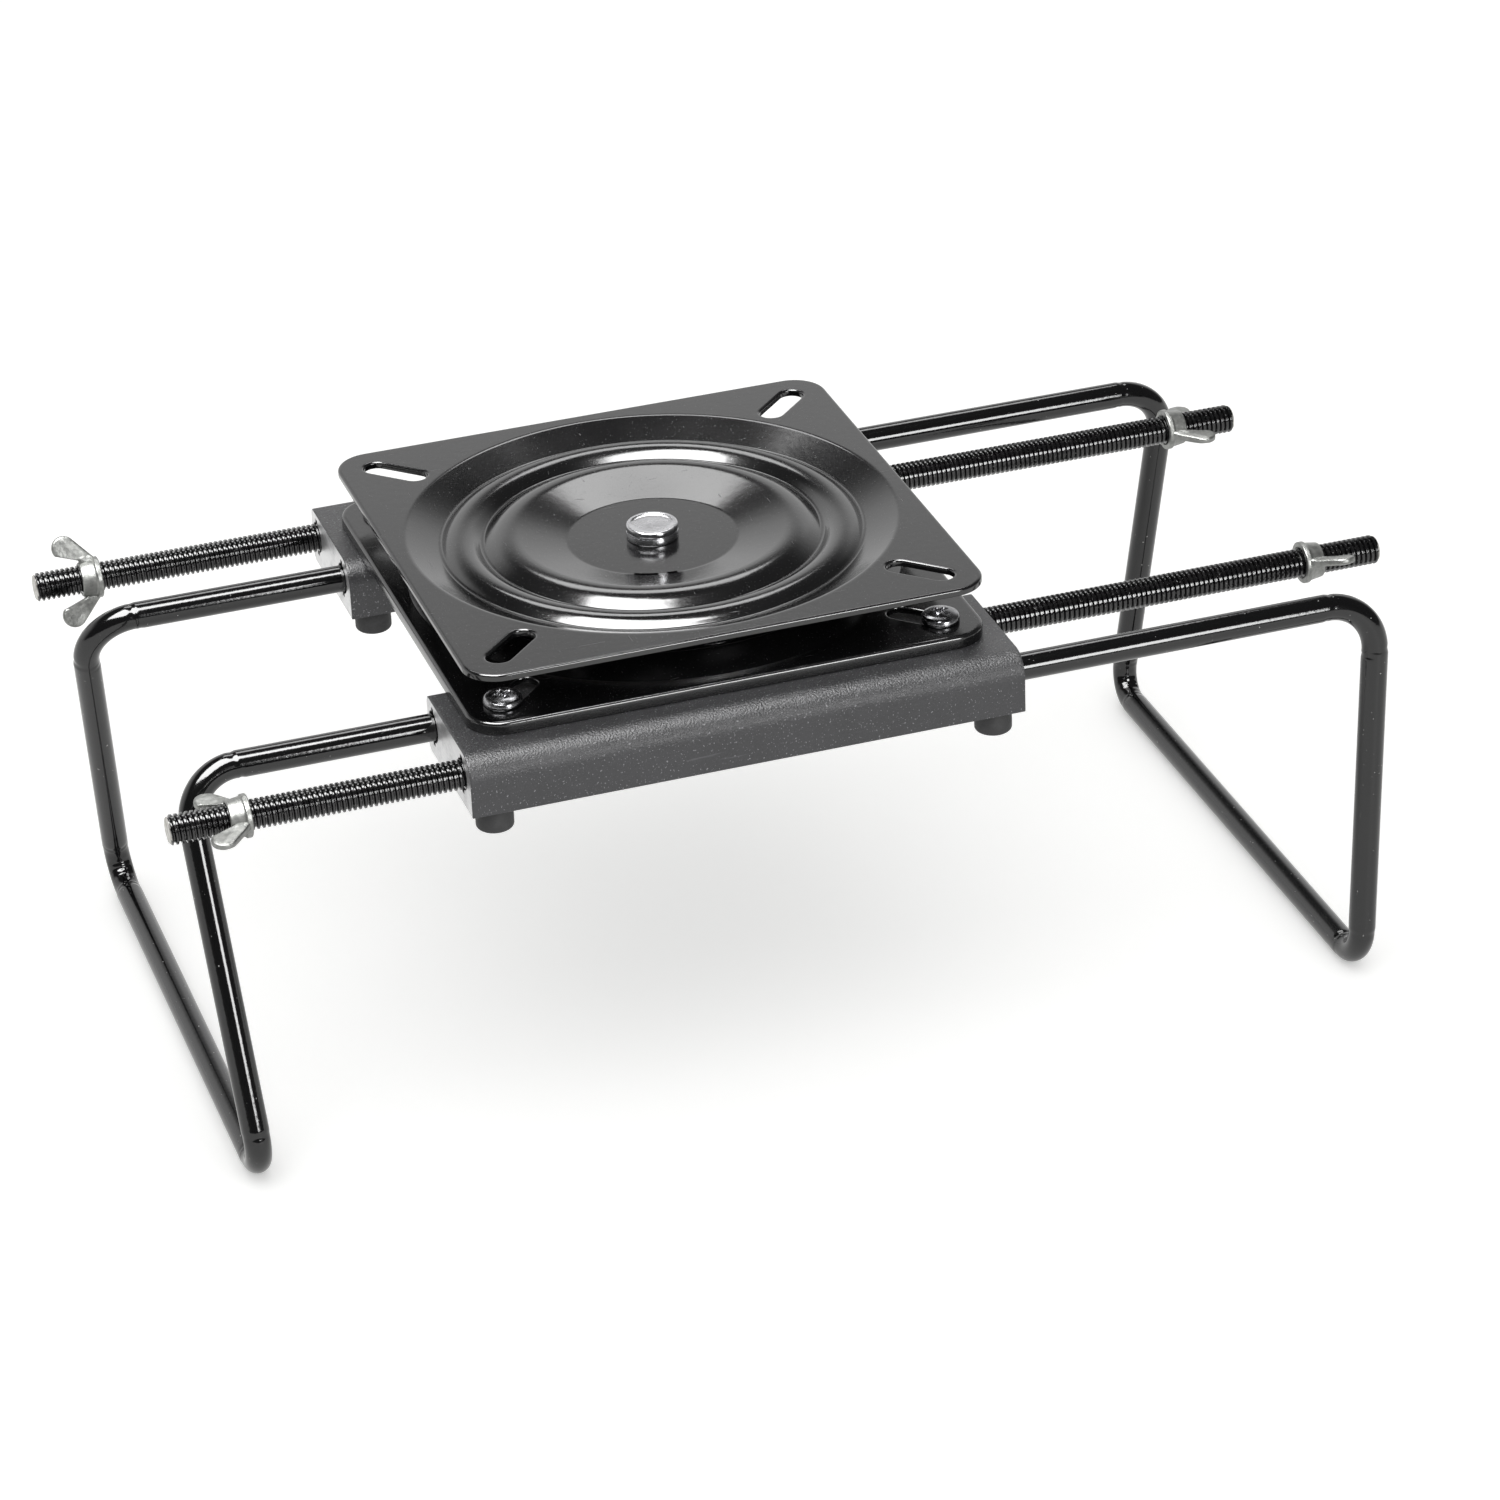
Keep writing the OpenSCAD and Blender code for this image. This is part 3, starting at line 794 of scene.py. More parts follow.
    def slot(self, turn: float, outset: float) -> np.ndarray:
        """Gives the outline of a diagonal slot with round ends.

        Args:
            turn: the slot's direction in degrees.
            outset: how far it is moved out into the metal.

        Returns:
            n by 2 points, anticlockwise.
        """
        half, r = (self.slot_len - self.slot_w) / 2, self.slot_w / 2 + outset
        flat = np.concatenate([arc(half, 0, r, -90, 90, self.slot_steps),
                               arc(-half, 0, r, 90, 270, self.slot_steps)])
        flat[:, 0] += self.slot_offset * math.sqrt(2)
        c, s = math.cos(math.radians(turn)), math.sin(math.radians(turn))
        return flat @ np.array([[c, s], [-s, c]])

    def rim(self) -> np.ndarray:
        """Gives the edge section: the blank's rolled-over top edge and its sharper lower edge.

        Returns:
            n by 2 points, inset from the outline and height, from the top face to the underside.
        """
        e, u, t = self.edge, self.lower_edge, self.sheet_t
        return np.concatenate([
            [[e + self.support, 0.0]], arc(e, -e, e, 90, 180, steps=8),
            arc(u, u - t, u, 180, 270, steps=4), [[e + self.support, -t]],
        ])

    def flats(self, mould: Mould, centre: np.ndarray) -> None:
        """Adds the flat top and underside between rim, pressing and slots.

        Args:
            mould: gets the surfaces.
            centre: the plate's centre at its top face.
        """
        a = self.angles()
        ring = (self.press_r + self.press_margin) * np.stack([np.cos(a), np.sin(a)], axis=-1)
        holes = [self.slot(turn, self.edge + self.support) for turn in self.slot_turns]
        for (inset, height), flip in zip(self.rim()[[0, -1]], (False, True)):
            mould.sheet([self.outline(inset), ring, *holes], centre + height * UP, ALONG, ACROSS,
                        flip=flip)

    def edges(self, mould: Mould, centre: np.ndarray) -> None:
        """Carries the edge section round the outline, and a blanked edge round each slot.

        Args:
            mould: gets the surfaces.
            centre: the plate's centre at its top face.
        """
        mould.grid(np.stack([at_height(self.outline(i), z) for i, z in self.rim()]) + centre)
        for turn in self.slot_turns:
            rows = [at_height(self.slot(turn, i), z) for i, z in PressedPlate.rim(self)]
            mould.grid(np.stack(rows) + centre, flip=True)

    def pressing(self, mould: Mould, centre: np.ndarray) -> None:
        """Adds the revolved pressing with the pin's hole, and the slits where there are any.

        Args:
            mould: gets the surfaces.
            centre: the plate's centre at its top face.
        """
        top, low = self.face(0.0), self.face(self.sheet_t)
        r, t, e, z = self.hole_r, self.sheet_t, self.hole_edge, self.disc[1]
        hole = np.concatenate([[[r + 2 * e, z]], arc(r + e, z - e, e, 90, 180, steps=3),
                               arc(r + e, z - t + e, e, 180, 270, steps=3), [[r + 2 * e, z - t]]])
        profile = np.concatenate([top, hole, low[::-1]])
        a = self.angles()
        radius, height = profile[:, :1], profile[:, 1:]
        if self.over:
            height = -t - height
        points = np.stack([radius * np.cos(a), radius * np.sin(a), height + 0 * a], axis=-1)
        keep = np.ones((len(profile) - 1, len(a)), dtype=bool)
        middle = (profile[1:, 0] + profile[:-1, 0]) / 2
        cut_rows = (middle > self.slit_inner) & (middle < self.slit_outer)
        degrees = np.degrees(a)
        for start, end in self.slits:
            cut_columns = (degrees >= start - CLOSE) & (np.roll(degrees, -1) <= end + CLOSE)
            keep &= ~(cut_rows[:, None] & (cut_columns & (degrees < end))[None, :])
        mould.grid(points + centre, flip=self.over, keep=keep)
        for start, end in self.slits:
            span = a[(degrees >= start - CLOSE) & (degrees <= end + CLOSE)]
            self._slit_walls(mould, centre, (top[-self.slit_rows:], low[-self.slit_rows:]), span)

    @staticmethod
    def _slit_walls(mould: Mould, centre: np.ndarray, faces: tuple[np.ndarray, np.ndarray],
                    span: np.ndarray) -> None:
        """Closes one slit with its two long walls and two ends, between the sheet's faces.

        Args:
            mould: gets the surfaces.
            centre: the plate's centre at its top face.
            faces: radius and height across the slit, on the top face and on the underside.
            span: angles along the slit in radians.
        """
        for k, flip in ((0, True), (-1, False)):
            rows = [np.stack([p[k, 0] * np.cos(span), p[k, 0] * np.sin(span), p[k, 1] + 0 * span],
                             axis=-1) for p in faces]
            mould.grid(np.stack(rows) + centre, closed=False, flip=flip)
        for angle, flip in ((span[0], False), (span[-1], True)):
            rows = [np.stack([p[:, 0] * math.cos(angle), p[:, 0] * math.sin(angle), p[:, 1]],
                             axis=-1) for p in faces]
            mould.grid(np.stack(rows) + centre, closed=False, flip=flip)

    def build(self, finishes: Finishes) -> bpy.types.Object:
        """Builds the plate and dresses it.

        Args:
            finishes: the shared finishes.

        Returns:
            The plate's object.
        """
        mould = Mould()
        centre = np.array([PLACES.swivel_x, 0.0, self.top_z])
        self.flats(mould, centre)
        self.edges(mould, centre)
        self.pressing(mould, centre)
        return mould.piece(self.name, [finishes.enamel], self.body, (self.node,))


@dataclass
class UpperPlate(PressedPlate):
    """The seat plate: rings pressed down, plain edge, two slits at the edge of the centre disc."""

    name: str = "seat_plate_pressing"
    body: str = "seat_plate"
    node: str = "upper_plate"
    top_z: float = PLACES.upper_top
    slits: tuple[tuple[float, float], ...] = ((240.0, 256.0), (262.0, 269.0))


@dataclass
class LowerPlate(PressedPlate):
    """The base plate: rings pressed up, and a rim folded down on to the rails."""

    name: str = "base_plate_pressing"
    body: str = "base"
    node: str = "lower_plate"
    top_z: float = PLACES.lower_top
    over: bool = True
    fold_r: float = 1.3
    inner_fold: float = 0.3
    foot_r: float = 0.4
    rim_h: float = 4.5

    def rim(self) -> np.ndarray:
        """Gives the folded rim's section: round fold, outer wall, foot, inner wall, inner fold.

        Returns:
            n by 2 points, inset from the outline and height, from the top face to the underside.
        """
        e, f, n, t, h = self.foot_r, self.fold_r, self.inner_fold, self.sheet_t, self.rim_h
        return np.concatenate([
            [[f + self.support, 0.0]], arc(f, -f, f, 90, 180, steps=7),
            arc(e, e - h, e, 180, 270, steps=3), arc(t - e, e - h, e, 270, 360, steps=3),
            [[t, -t - n], [t + n, -t], [t + n + self.support, -t]],
        ])


@dataclass
class PivotPin:
    """The bright pin that holds the plates together, riveted over below, in mm.

    The groove's places count up from the head's underside. The dish in the head's top is given by
    radius and depth.
    """

    head_d: float = 17.7
    shank_d: float = 10.0
    head_bottom: float = 160.90
    head_top: float = 165.90
    tail_top: float = 152.25
    tail_h: float = 2.2
    tail_d: float = 15.0
    tail_round: float = 1.1
    tail_flat: float = 0.5
    tail_chamfer: float = 0.2
    head_round: float = 0.3
    groove_low: float = 2.4
    groove_high: float = 3.1
    groove_depth: float = 0.5
    groove_round: float = 0.15
    top_round: float = 0.7
    lip_in: float = 1.3
    lip_round: float = 0.25
    dish: tuple[tuple[float, float], ...] = ((6.95, 0.42), (5.65, 0.5), (2.0, 0.34), (0.0, 0.3))
    columns: int = 96
    crease: float = 32.0

    def profile(self) -> np.ndarray:
        """Gives half the outline, from the tail's middle up to the head's.

        Returns:
            n by 2 points, radius and height.
        """
        hr, sr, tr = self.head_d / 2, self.shank_d / 2, self.tail_d / 2
        b, t, tt, tb = self.head_bottom, self.head_top, self.tail_top, self.tail_top - self.tail_h
        tail, low, top, lip = self.tail_round, self.head_round, self.top_round, self.lip_round
        groove, cut, chamfer = self.groove_round, hr - self.groove_depth, self.tail_chamfer
        return np.concatenate([
            [[0.0, tb], [tr - tail - self.tail_flat, tb]],
            arc(tr - tail, tb + tail, tail, 270, 360, steps=6),
            [[tr, tt - chamfer], [tr - chamfer, tt], [sr, tt], [sr, b], [hr - low, b]],
            arc(hr - low, b + low, low, 270, 360, steps=3),
            arc(hr - groove, b + self.groove_low - groove, groove, 0, 90, steps=2),
            [[cut, b + self.groove_low], [cut, b + self.groove_high]],
            arc(hr - groove, b + self.groove_high + groove, groove, 270, 360, steps=2),
            arc(hr - top, t - top, top, 0, 90, steps=6),
            arc(hr - self.lip_in, t - lip, lip, 90, 180, steps=3),
            [[r, t - depth] for r, depth in self.dish],
        ])

    def build(self, finishes: Finishes) -> bpy.types.Object:
        """Builds the pin as a revolved profile and dresses it.

        Args:
            finishes: the shared finishes.

        Returns:
            The pin's object.
        """
        mould = Mould()
        mould.grid(revolve(self.profile(), self.columns, (PLACES.swivel_x, 0.0, 0.0)))
        return mould.piece("pivot_pin_turned", [finishes.bright], "base",
                           ("pivot_pin",), self.crease)


@dataclass
class PlateScrews:
    """Four pan-head screws with cross recesses, in mm.

    The side and the shoulder's centre are given by distance in from the head's rim, and height.
    """

    head_d: float = 13.0
    head_h: float = 3.5
    shank_d: float = 6.0
    length: float = 18.0
    point: float = 0.6
    lift: float = 0.05
    side: tuple[tuple[float, float], ...] = (
        (0.4, 0.0), (0.1, 0.15), (0.0, 0.5), (0.0, 1.1), (0.15, 1.5))
    shoulder: tuple[float, float] = (1.6, 1.3)
    shoulder_r: float = 1.55
    dome_in: float = 2.0
    dome_z: float = 2.8
    dome_rings: int = 34
    recess_w: float = 6.4
    recess_arm: float = 1.7
    recess_depth: float = 2.0
    recess_round: float = 0.15
    recess_end: tuple[float, float] = (0.2, 0.4)
    recess_slope: float = 0.45
    turns: tuple[float, ...] = (12.0, 57.0, 33.0, 78.0)
    columns: int = 96
    crease: float = 34.0

    def head(self, turn: float) -> np.ndarray:
        """Head as radius against angle: a dome less a cross whose arms slope in to the middle.

        Args:
            turn: turn of the cross in degrees.

        Returns:
            rows by columns by 3 points, from the shank's rim up to the middle.
        """
        a = np.linspace(0.0, 2 * np.pi, self.columns, endpoint=False)
        rim = self.head_d / 2
        side = np.array([[self.shank_d / 2, 0.0], *([rim - r, z] for r, z in self.side)])
        shoulder = arc(rim - self.shoulder[0], self.shoulder[1], self.shoulder_r, 12, 78, steps=8)
        inward = np.linspace(rim - self.dome_in, 0.0, self.dome_rings)
        dome = self.dome_z + (self.head_h - self.dome_z) * np.cos(inward / rim * np.pi / 2.0)
        profile = np.concatenate([side, shoulder, np.stack([inward, dome], axis=-1)])
        r, z = profile[:, :1], profile[:, 1:]
        u, v = (np.abs(r * way(a - math.radians(turn))) for way in (np.cos, np.sin))
        arm, reach, soft = self.recess_arm / 2, self.recess_w / 2, self.recess_round
        beyond, before = self.recess_end
        bars = [smooth(-wide, -arm - soft, -arm + soft)
                * smooth(-long, -reach - beyond, -reach + before)
                for long, wide in ((u, v), (v, u))]
        slope = 1.0 - self.recess_slope * smooth(r, 0.0, reach)
        dip = np.maximum(*bars) * self.recess_depth * slope
        dip[: len(side)] = 0.0
        return np.stack([r * np.cos(a), r * np.sin(a), z - dip], axis=-1)

    def build(self, finishes: Finishes) -> bpy.types.Object:
        """Builds the four screws in one piece and dresses them.

        Args:
            finishes: the shared finishes.

        Returns:
            The screws' object.
        """
        mould = Mould()
        spots = [(sx, sy) for sx in (-1, 1) for sy in (-1, 1)]
        r, end = self.shank_d / 2, -self.length
        shank = np.array([[0.0, end], [r - self.point, end], [r, self.point + end], [r, 0.0]])
        for (sx, sy), turn in zip(spots, self.turns):
            centre = np.array([PLACES.swivel_x + sx * PLACES.screw_x, sy * PLACES.screw_y,
                               PLACES.lower_top + self.lift])
            mould.grid(self.head(turn) + centre)
            mould.grid(revolve(shank, self.columns, tuple(centre)))
        return mould.piece("plate_screws_pan_head", [finishes.screw], "base",
                           ("plate_screws",), self.crease)


@dataclass
class Rail:
    """One extruded rail with its two notched channels, in mm."""

    name: str
    node: str
    face_y: float
    channels: tuple[float, float]
    width: float = 51.5
    height: float = 20.5
    round_r: float = 8.0
    edge_r: float = 3.0
    sharp_r: float = 0.4
    channel_r: float = 5.3
    notch_w: float = 2.0
    notch_depth: float = 1.4
    deburr: float = 0.3
    deburr_step: float = 0.1
    channel_deburr: float = 0.2
    crease: float = 30.0

    def section(self, inset: float) -> np.ndarray:
        """Gives the outline of the section, from the near bottom edge.

        Args:
            inset: how far it is moved in.

        Returns:
            n by 2 points, anticlockwise.
        """
        w, h, i = self.width, self.height, inset
        e, big, s = self.edge_r, self.round_r, self.sharp_r
        return np.concatenate([
            arc(s, s, s - i, 180, 270, steps=3), arc(w - e, e, e - i, 270, 360, steps=8),
            arc(w - e, h - e, e - i, 0, 90, steps=8),
            arc(big, h - big, big - i, 90, 180, steps=16),
        ])

    def channel(self, grow: float) -> np.ndarray:
        """Gives the outline of a channel: a circle with a notch above and one below.

        Args:
            grow: how far it is moved out into the metal.

        Returns:
            n by 2 points about the channel's middle, anticlockwise.
        """
        r, half = self.channel_r + grow, self.notch_w / 2 + grow
        deep = self.channel_r + self.notch_depth + grow
        a = math.degrees(math.asin(half / r))
        return np.concatenate([
            arc(0, 0, r, -90 + a, 90 - a, steps=24), [[half, deep], [-half, deep]],
            arc(0, 0, r, 90 + a, 270 - a, steps=24), [[-half, -deep], [half, -deep]],
        ])

    def build(self, finishes: Finishes) -> bpy.types.Object:
        """Carries the section along X between two deburred sawn ends and cuts the channels.

        Args:
            finishes: the shared finishes.

        Returns:
            The rail's object.
        """
        mould = Mould()
        half, d, c = PLACES.rail_len / 2, self.deburr, self.channel_deburr
        base = np.array([PLACES.swivel_x, self.face_y, PLACES.rail_bottom])
        left = [(-half, d), (-half + self.deburr_step, 0.3 * d), (-half + d, 0.0),
                (-half + 3 * d, 0.0)]
        stations = left + [(-x, inset) for x, inset in reversed(left)]
        mould.grid(np.stack([at_x(self.section(inset), x) for x, inset in stations]) + base)
        holes = []
        for y in self.channels:
            shift = np.array([y - self.face_y, PLACES.channel_z - PLACES.rail_bottom])
            holes.append(self.channel(c) + shift)
            ends = [(-half, c), (-half + c, 0.0), (half - c, 0.0), (half, c)]
            tube = [at_x(self.channel(grow) + shift, x) for x, grow in ends]
            mould.grid(np.stack(tube) + base, flip=True)
        for x, flip in ((-half, True), (half, False)):
            mould.sheet([self.section(d), *holes], base + x * ALONG, ACROSS, UP, flip=flip,
                        finish=1)
        return mould.piece(self.name, [finishes.rail_coat, finishes.sawn], "base",
                           (self.node,), self.crease)


@dataclass
class Bumpers:
    """The four push-in rubber bumpers under the rails, in mm.

    The foot and the top are given by distance in from the side, and distance from the foot or
    down from the rail. The bulge is given by distance in, and share of the height down.
    """

    diameter: float = 12.6
    height: float = 7.8
    foot: tuple[tuple[float, float], ...] = ((3.2, 0.2), (2.4, 0.0))
    dish: float = 0.25
    foot_round: float = 1.3
    bulge: tuple[tuple[float, float], ...] = ((0.0, 0.5), (0.12, 0.2))
    top: tuple[tuple[float, float], ...] = ((0.3, 0.25), (0.7, 0.0))
    stem_d: float = 4.5
    stem_len: float = 3.0
    stem_chamfer: float = 0.4
    columns: int = 56
    crease: float = 50.0

    def profile(self) -> np.ndarray:
        """Gives half the outline: soft rounded foot, slightly bulged side, and the stem.

        Returns:
            n by 2 points, radius and height, from the foot's middle to the stem's.
        """
        r, h, s, f = self.diameter / 2, self.height, self.stem_d / 2, self.foot_round
        end, c = self.stem_len, self.stem_chamfer
        return np.concatenate([
            [[0.0, -h + self.dish]], [[r - i, -h + z] for i, z in self.foot],
            arc(r - f, -h + f, f, 270, 350, steps=7),
            [[r - i, -h * share] for i, share in self.bulge],
            [[r - i, -z] for i, z in self.top],
            [[s, 0.0], [s, end - c], [s - c, end], [0.0, end]],
        ])

    def build(self, finishes: Finishes) -> None:
        """Builds the four bumpers, each in its rail's hole, and dresses them.

        Args:
            finishes: the shared finishes.
        """
        for row, face_y in (("near", PLACES.near_rail_face), ("far", PLACES.far_rail_face)):
            for side in Side:
                mould = Mould()
                x = PLACES.swivel_x + side.value * PLACES.bumper_x
                centre = (x, face_y + PLACES.bumper_inset, PLACES.rail_bottom)
                mould.grid(revolve(self.profile(), self.columns, centre))
                name = f"{row}_{side.name.lower()}"
                mould.piece(f"bumper_moulded_{name}", [finishes.rubber], "base",
                            (f"bumper_{name}",), self.crease)


@dataclass(frozen=True)
class Stretch:
    """One straight or arc of a bent bar, in mm; inward is None on a straight."""

    begin: float
    end: float
    start: np.ndarray
    way: np.ndarray
    normal: np.ndarray
    inward: np.ndarray | None = None
    radius: float = 0.0


@dataclass
class BarPath:
    """Centre line of a bent bar: straights and arcs, with a frame carried along it, in mm."""

    corners: np.ndarray
    radii: tuple[float, ...]

    def __post_init__(self) -> None:
        """Works out the straights and arcs in order, and the frame at the start of each."""
        self.parts: list[Stretch] = []
        c = self.corners
        ways = np.diff(c, axis=0)
        ways = ways / np.linalg.norm(ways, axis=1, keepdims=True)
        point, s, normal = c[0], 0.0, UP
        for k, r in enumerate(self.radii):
            before, after = ways[k], ways[k + 1]
            turn = math.acos(float(before @ after))
            take = r * math.tan(turn / 2)
            corner = c[k + 1] - take * before
            run = float(np.linalg.norm(corner - point))
            self.parts.append(Stretch(s, s + run, point, before, normal))
            s += run
            inward = after - (before @ after) * before
            inward = inward / np.linalg.norm(inward)
            self.parts.append(Stretch(s, s + r * turn, corner, before, normal, inward, r))
            normal = self._turned(normal, np.cross(before, inward), np.array([turn]))[0]
            s += r * turn
            point = c[k + 1] + take * after
        self.length = s + float(np.linalg.norm(c[-1] - point))
        self.parts.append(Stretch(s, self.length, point, ways[-1], normal))

    @property
    def bends(self) -> list[Stretch]:
        """The arcs among the parts."""
        return [part for part in self.parts if part.inward is not None]

    @staticmethod
    def _turned(v: np.ndarray, axis: np.ndarray, angle: np.ndarray) -> np.ndarray:
        """Turns v about axis by each angle: Rodrigues' formula."""
        c, s = np.cos(angle)[:, None], np.sin(angle)[:, None]
        return v * c + np.cross(axis, v) * s + axis * (axis @ v) * (1 - c)

    def along(self, s: np.ndarray) -> tuple[np.ndarray, np.ndarray, np.ndarray]:
        """Points and frame at the distances s.

        On a straight the point is the start plus distance times direction. On an arc it is the
        centre plus the radius turned by distance over radius.

        Args:
            s: distances from the start.

        Returns:
            The points, and the two unit vectors across the bar.
        """
        points, normals, tangents = (np.zeros((len(s), 3)) for _ in range(3))
        for part in self.parts:
            mask = (s >= part.begin - CLOSE) & (s <= part.end + CLOSE)
            local = (s[mask] - part.begin)[:, None]
            if part.inward is None:
                points[mask] = part.start + local * part.way
                normals[mask] = part.normal
                tangents[mask] = part.way
            else:
                a, r = local / part.radius, part.radius
                points[mask] = part.start + r * (part.inward * (1 - np.cos(a))
                                                 + part.way * np.sin(a))
                axis = np.cross(part.way, part.inward)
                normals[mask] = self._turned(part.normal, axis, a[:, 0])
                tangents[mask] = part.way * np.cos(a) + part.inward * np.sin(a)
        return points, normals, np.cross(tangents, normals)


@dataclass
class UFrame:
    """One bent bar with a rolled thread at each end, in mm.

    A bend's mark is given by its place before the bend, its width and its depth.
    """

    name: str
    node: str
    side: Side
    reach: float
    arm_len: float
    channel_y: float
    leg_h: float
    foot_w: float
    lean: float
    skew: float = 0.0
    crushed: float = 0.5
    end_skew: float = 2.0
    bar_r: float = 4.65
    bend_r: float = 4.5
    bend_ease: float = 0.6
    grip_mark: tuple[float, float, float] = (1.2, 0.8, 0.3)
    rub_mark: tuple[float, float, float] = (-1.0, 0.7, 0.22)
    pinches: tuple[tuple[float, float], ...] = ((-3.2, 1.0), (0.0, 1.2), (3.2, 1.0))
    pinch_w: float = 1.5
    crushed_bend: int = 2
    thread_r: float = 5.0
    thread_len: float = 150.0
    thread_depth: float = 0.9
    pitch: float = 1.76
    ribbon: tuple[float, ...] = (0.0, 0.17, 0.29, 0.41, 0.5, 0.59, 0.71, 0.83, 1.0)
    root_share: float = 0.18
    crest_share: float = 0.66
    runout: float = 5.0
    neck: float = 3.0
    chamfer: float = 0.9
    bare_end: float = 0.4
    end_rings: tuple[float, ...] = (0.0, 0.5, 0.94, 1.0)
    upper_bend: float = 17.0
    lower_bend: float = 11.0
    columns: int = 40
    straight_step: float = 8.0
    bend_step: float = 0.5
    bend_margin: float = 5.0
    neck_step: float = 0.8
    least_step: float = 0.02
    crease: float = 45.0

    def path(self) -> BarPath:
        """Gives the bar's centre line from the near threaded end round to the far one.

        Returns:
            The path with its four bends.
        """
        side, y, z = self.side.value, self.channel_y, PLACES.channel_z
        leg_x = PLACES.swivel_x + side * self.reach
        end_x = leg_x - side * self.arm_len
        foot_x, foot_z = leg_x - side * self.lean, z - self.leg_h
        near, far = (
            [(end_x - s * self.end_skew, s * y, z), (leg_x - s * self.skew, s * y, z),
             (foot_x, s * self.foot_w / 2, foot_z)] for s in (-1, 1))
        radii = (self.upper_bend, self.lower_bend, self.lower_bend, self.upper_bend)
        return BarPath(np.array(near + far[::-1]), radii)

    def stations(self, path: BarPath) -> np.ndarray:
        """Gives the plain bar's rows: close at the bends, wide on the straights.

        Args:
            path: the bar's centre line.

        Returns:
            Rising distances between the two threads.
        """
        first, last = self.thread_len, path.length - self.thread_len
        inset = self.straight_step / 2
        parts = [np.arange(first + inset, last - inset, self.straight_step),
                 [first, first + self.neck_step, last - self.neck_step, last]]
        for bend in path.bends:
            parts.append(np.arange(bend.begin - self.bend_margin, bend.end + self.bend_margin,
                                   self.bend_step))
        s = np.unique(np.clip(np.concatenate(parts), first, last))
        return s[np.concatenate([[True], np.diff(s) > self.least_step])]

    def thread(self, path: BarPath, far: bool) -> tuple[np.ndarray, np.ndarray]:
        """One rolled thread as a ribbon one pitch wide, wound along the bar edge to edge.

        A point's place across the ribbon gives the thread's profile: a flat crest, straight flanks
        and a flat root. Its turn gives the angle, and turn plus place times the pitch gives the
        depth in from the bar's end. The profile fades out at the inner end and has a chamfer at
        the outer one.

        Args:
            path: the bar's centre line.
            far: whether the thread is at the path's far end.

        Returns:
            Points across by along the ribbon by 3, and each quad's finish.
        """
        across = np.array(self.ribbon)[:, None]
        turns = math.ceil(self.thread_len / self.pitch)
        turn = np.arange(-self.columns, turns * self.columns + 1)[None, :] / self.columns
        depth_in = np.clip((turn + across) * self.pitch, 0.0, self.thread_len)
        from_root = np.abs(2 * across - 1.0)
        groove = np.clip((self.crest_share - from_root) / (self.crest_share - self.root_share),
                         0.0, 1.0)
        fade = 1.0 - smooth(depth_in, self.thread_len - self.runout, self.thread_len)
        crest = self.thread_r - (self.thread_r - self.bar_r) * smooth(
            depth_in, self.thread_len - self.neck, self.thread_len)
        radius = np.minimum(crest - self.thread_depth * groove * fade,
                            self.thread_r - self.chamfer + depth_in)
        s = path.length - depth_in if far else depth_in
        middle, up, side = (v.reshape(*s.shape, 3) for v in path.along(s.ravel()))
        phi = (-2 if far else 2) * np.pi * turn + 0 * s
        points = middle + (radius * np.cos(phi))[..., None] * up
        points = points + (radius * np.sin(phi))[..., None] * side
        bare = (depth_in[:-1, :-1] + depth_in[1:, 1:]) / 2 < self.bare_end
        return points, np.where(bare, 2, 1).ravel()

    def radius(self, path: BarPath, s: np.ndarray, outward: np.ndarray) -> np.ndarray:
        """Gives the plain bar's radius at each row and column.

        It is the bar's radius, thinned in the bends, with a crescent step where the bending tool
        took hold at each end of a bend, and the inner side flattened where the bar was crushed.

        Args:
            path: the bar's centre line.
            s: the rows' distances along it.
            outward: unit vectors out from the middle, rows by columns by 3.

        Returns:
            rows by columns radii.
        """
        radius = np.full(outward.shape[:2], self.bar_r)
        for k, bend in enumerate(path.bends):
            begin, end, ease = bend.begin, bend.end, self.bend_ease
            a = np.clip((s - begin) / bend.radius, 0.0, (end - begin) / bend.radius)[:, None]
            facing_in = bend.inward * np.cos(a) - bend.way * np.sin(a)
            facing = np.einsum("ijk,ik->ij", outward, facing_in)
            inner, outer = np.maximum(facing, 0.0), np.maximum(-facing, 0.0)
            inside = smooth(s, begin - ease, begin + ease)
            inside = inside * (1 - smooth(s, end - ease, end + ease))
            radius -= (self.bar_r - self.bend_r) * inside[:, None]
            for (place, width, depth), towards in ((self.grip_mark, inner ** 1.5),
                                                   (self.rub_mark, outer ** 2)):
                mark = hump(s, begin - place, width) + hump(s, end + place, width)
                radius -= depth * mark[:, None] * towards
            if k == self.crushed_bend:
                middle = (begin + end) / 2
                pinch = sum(share * hump(s, middle + place, self.pinch_w)
                            for place, share in self.pinches)
                radius -= self.crushed * pinch[:, None] * inner ** 2
        return radius

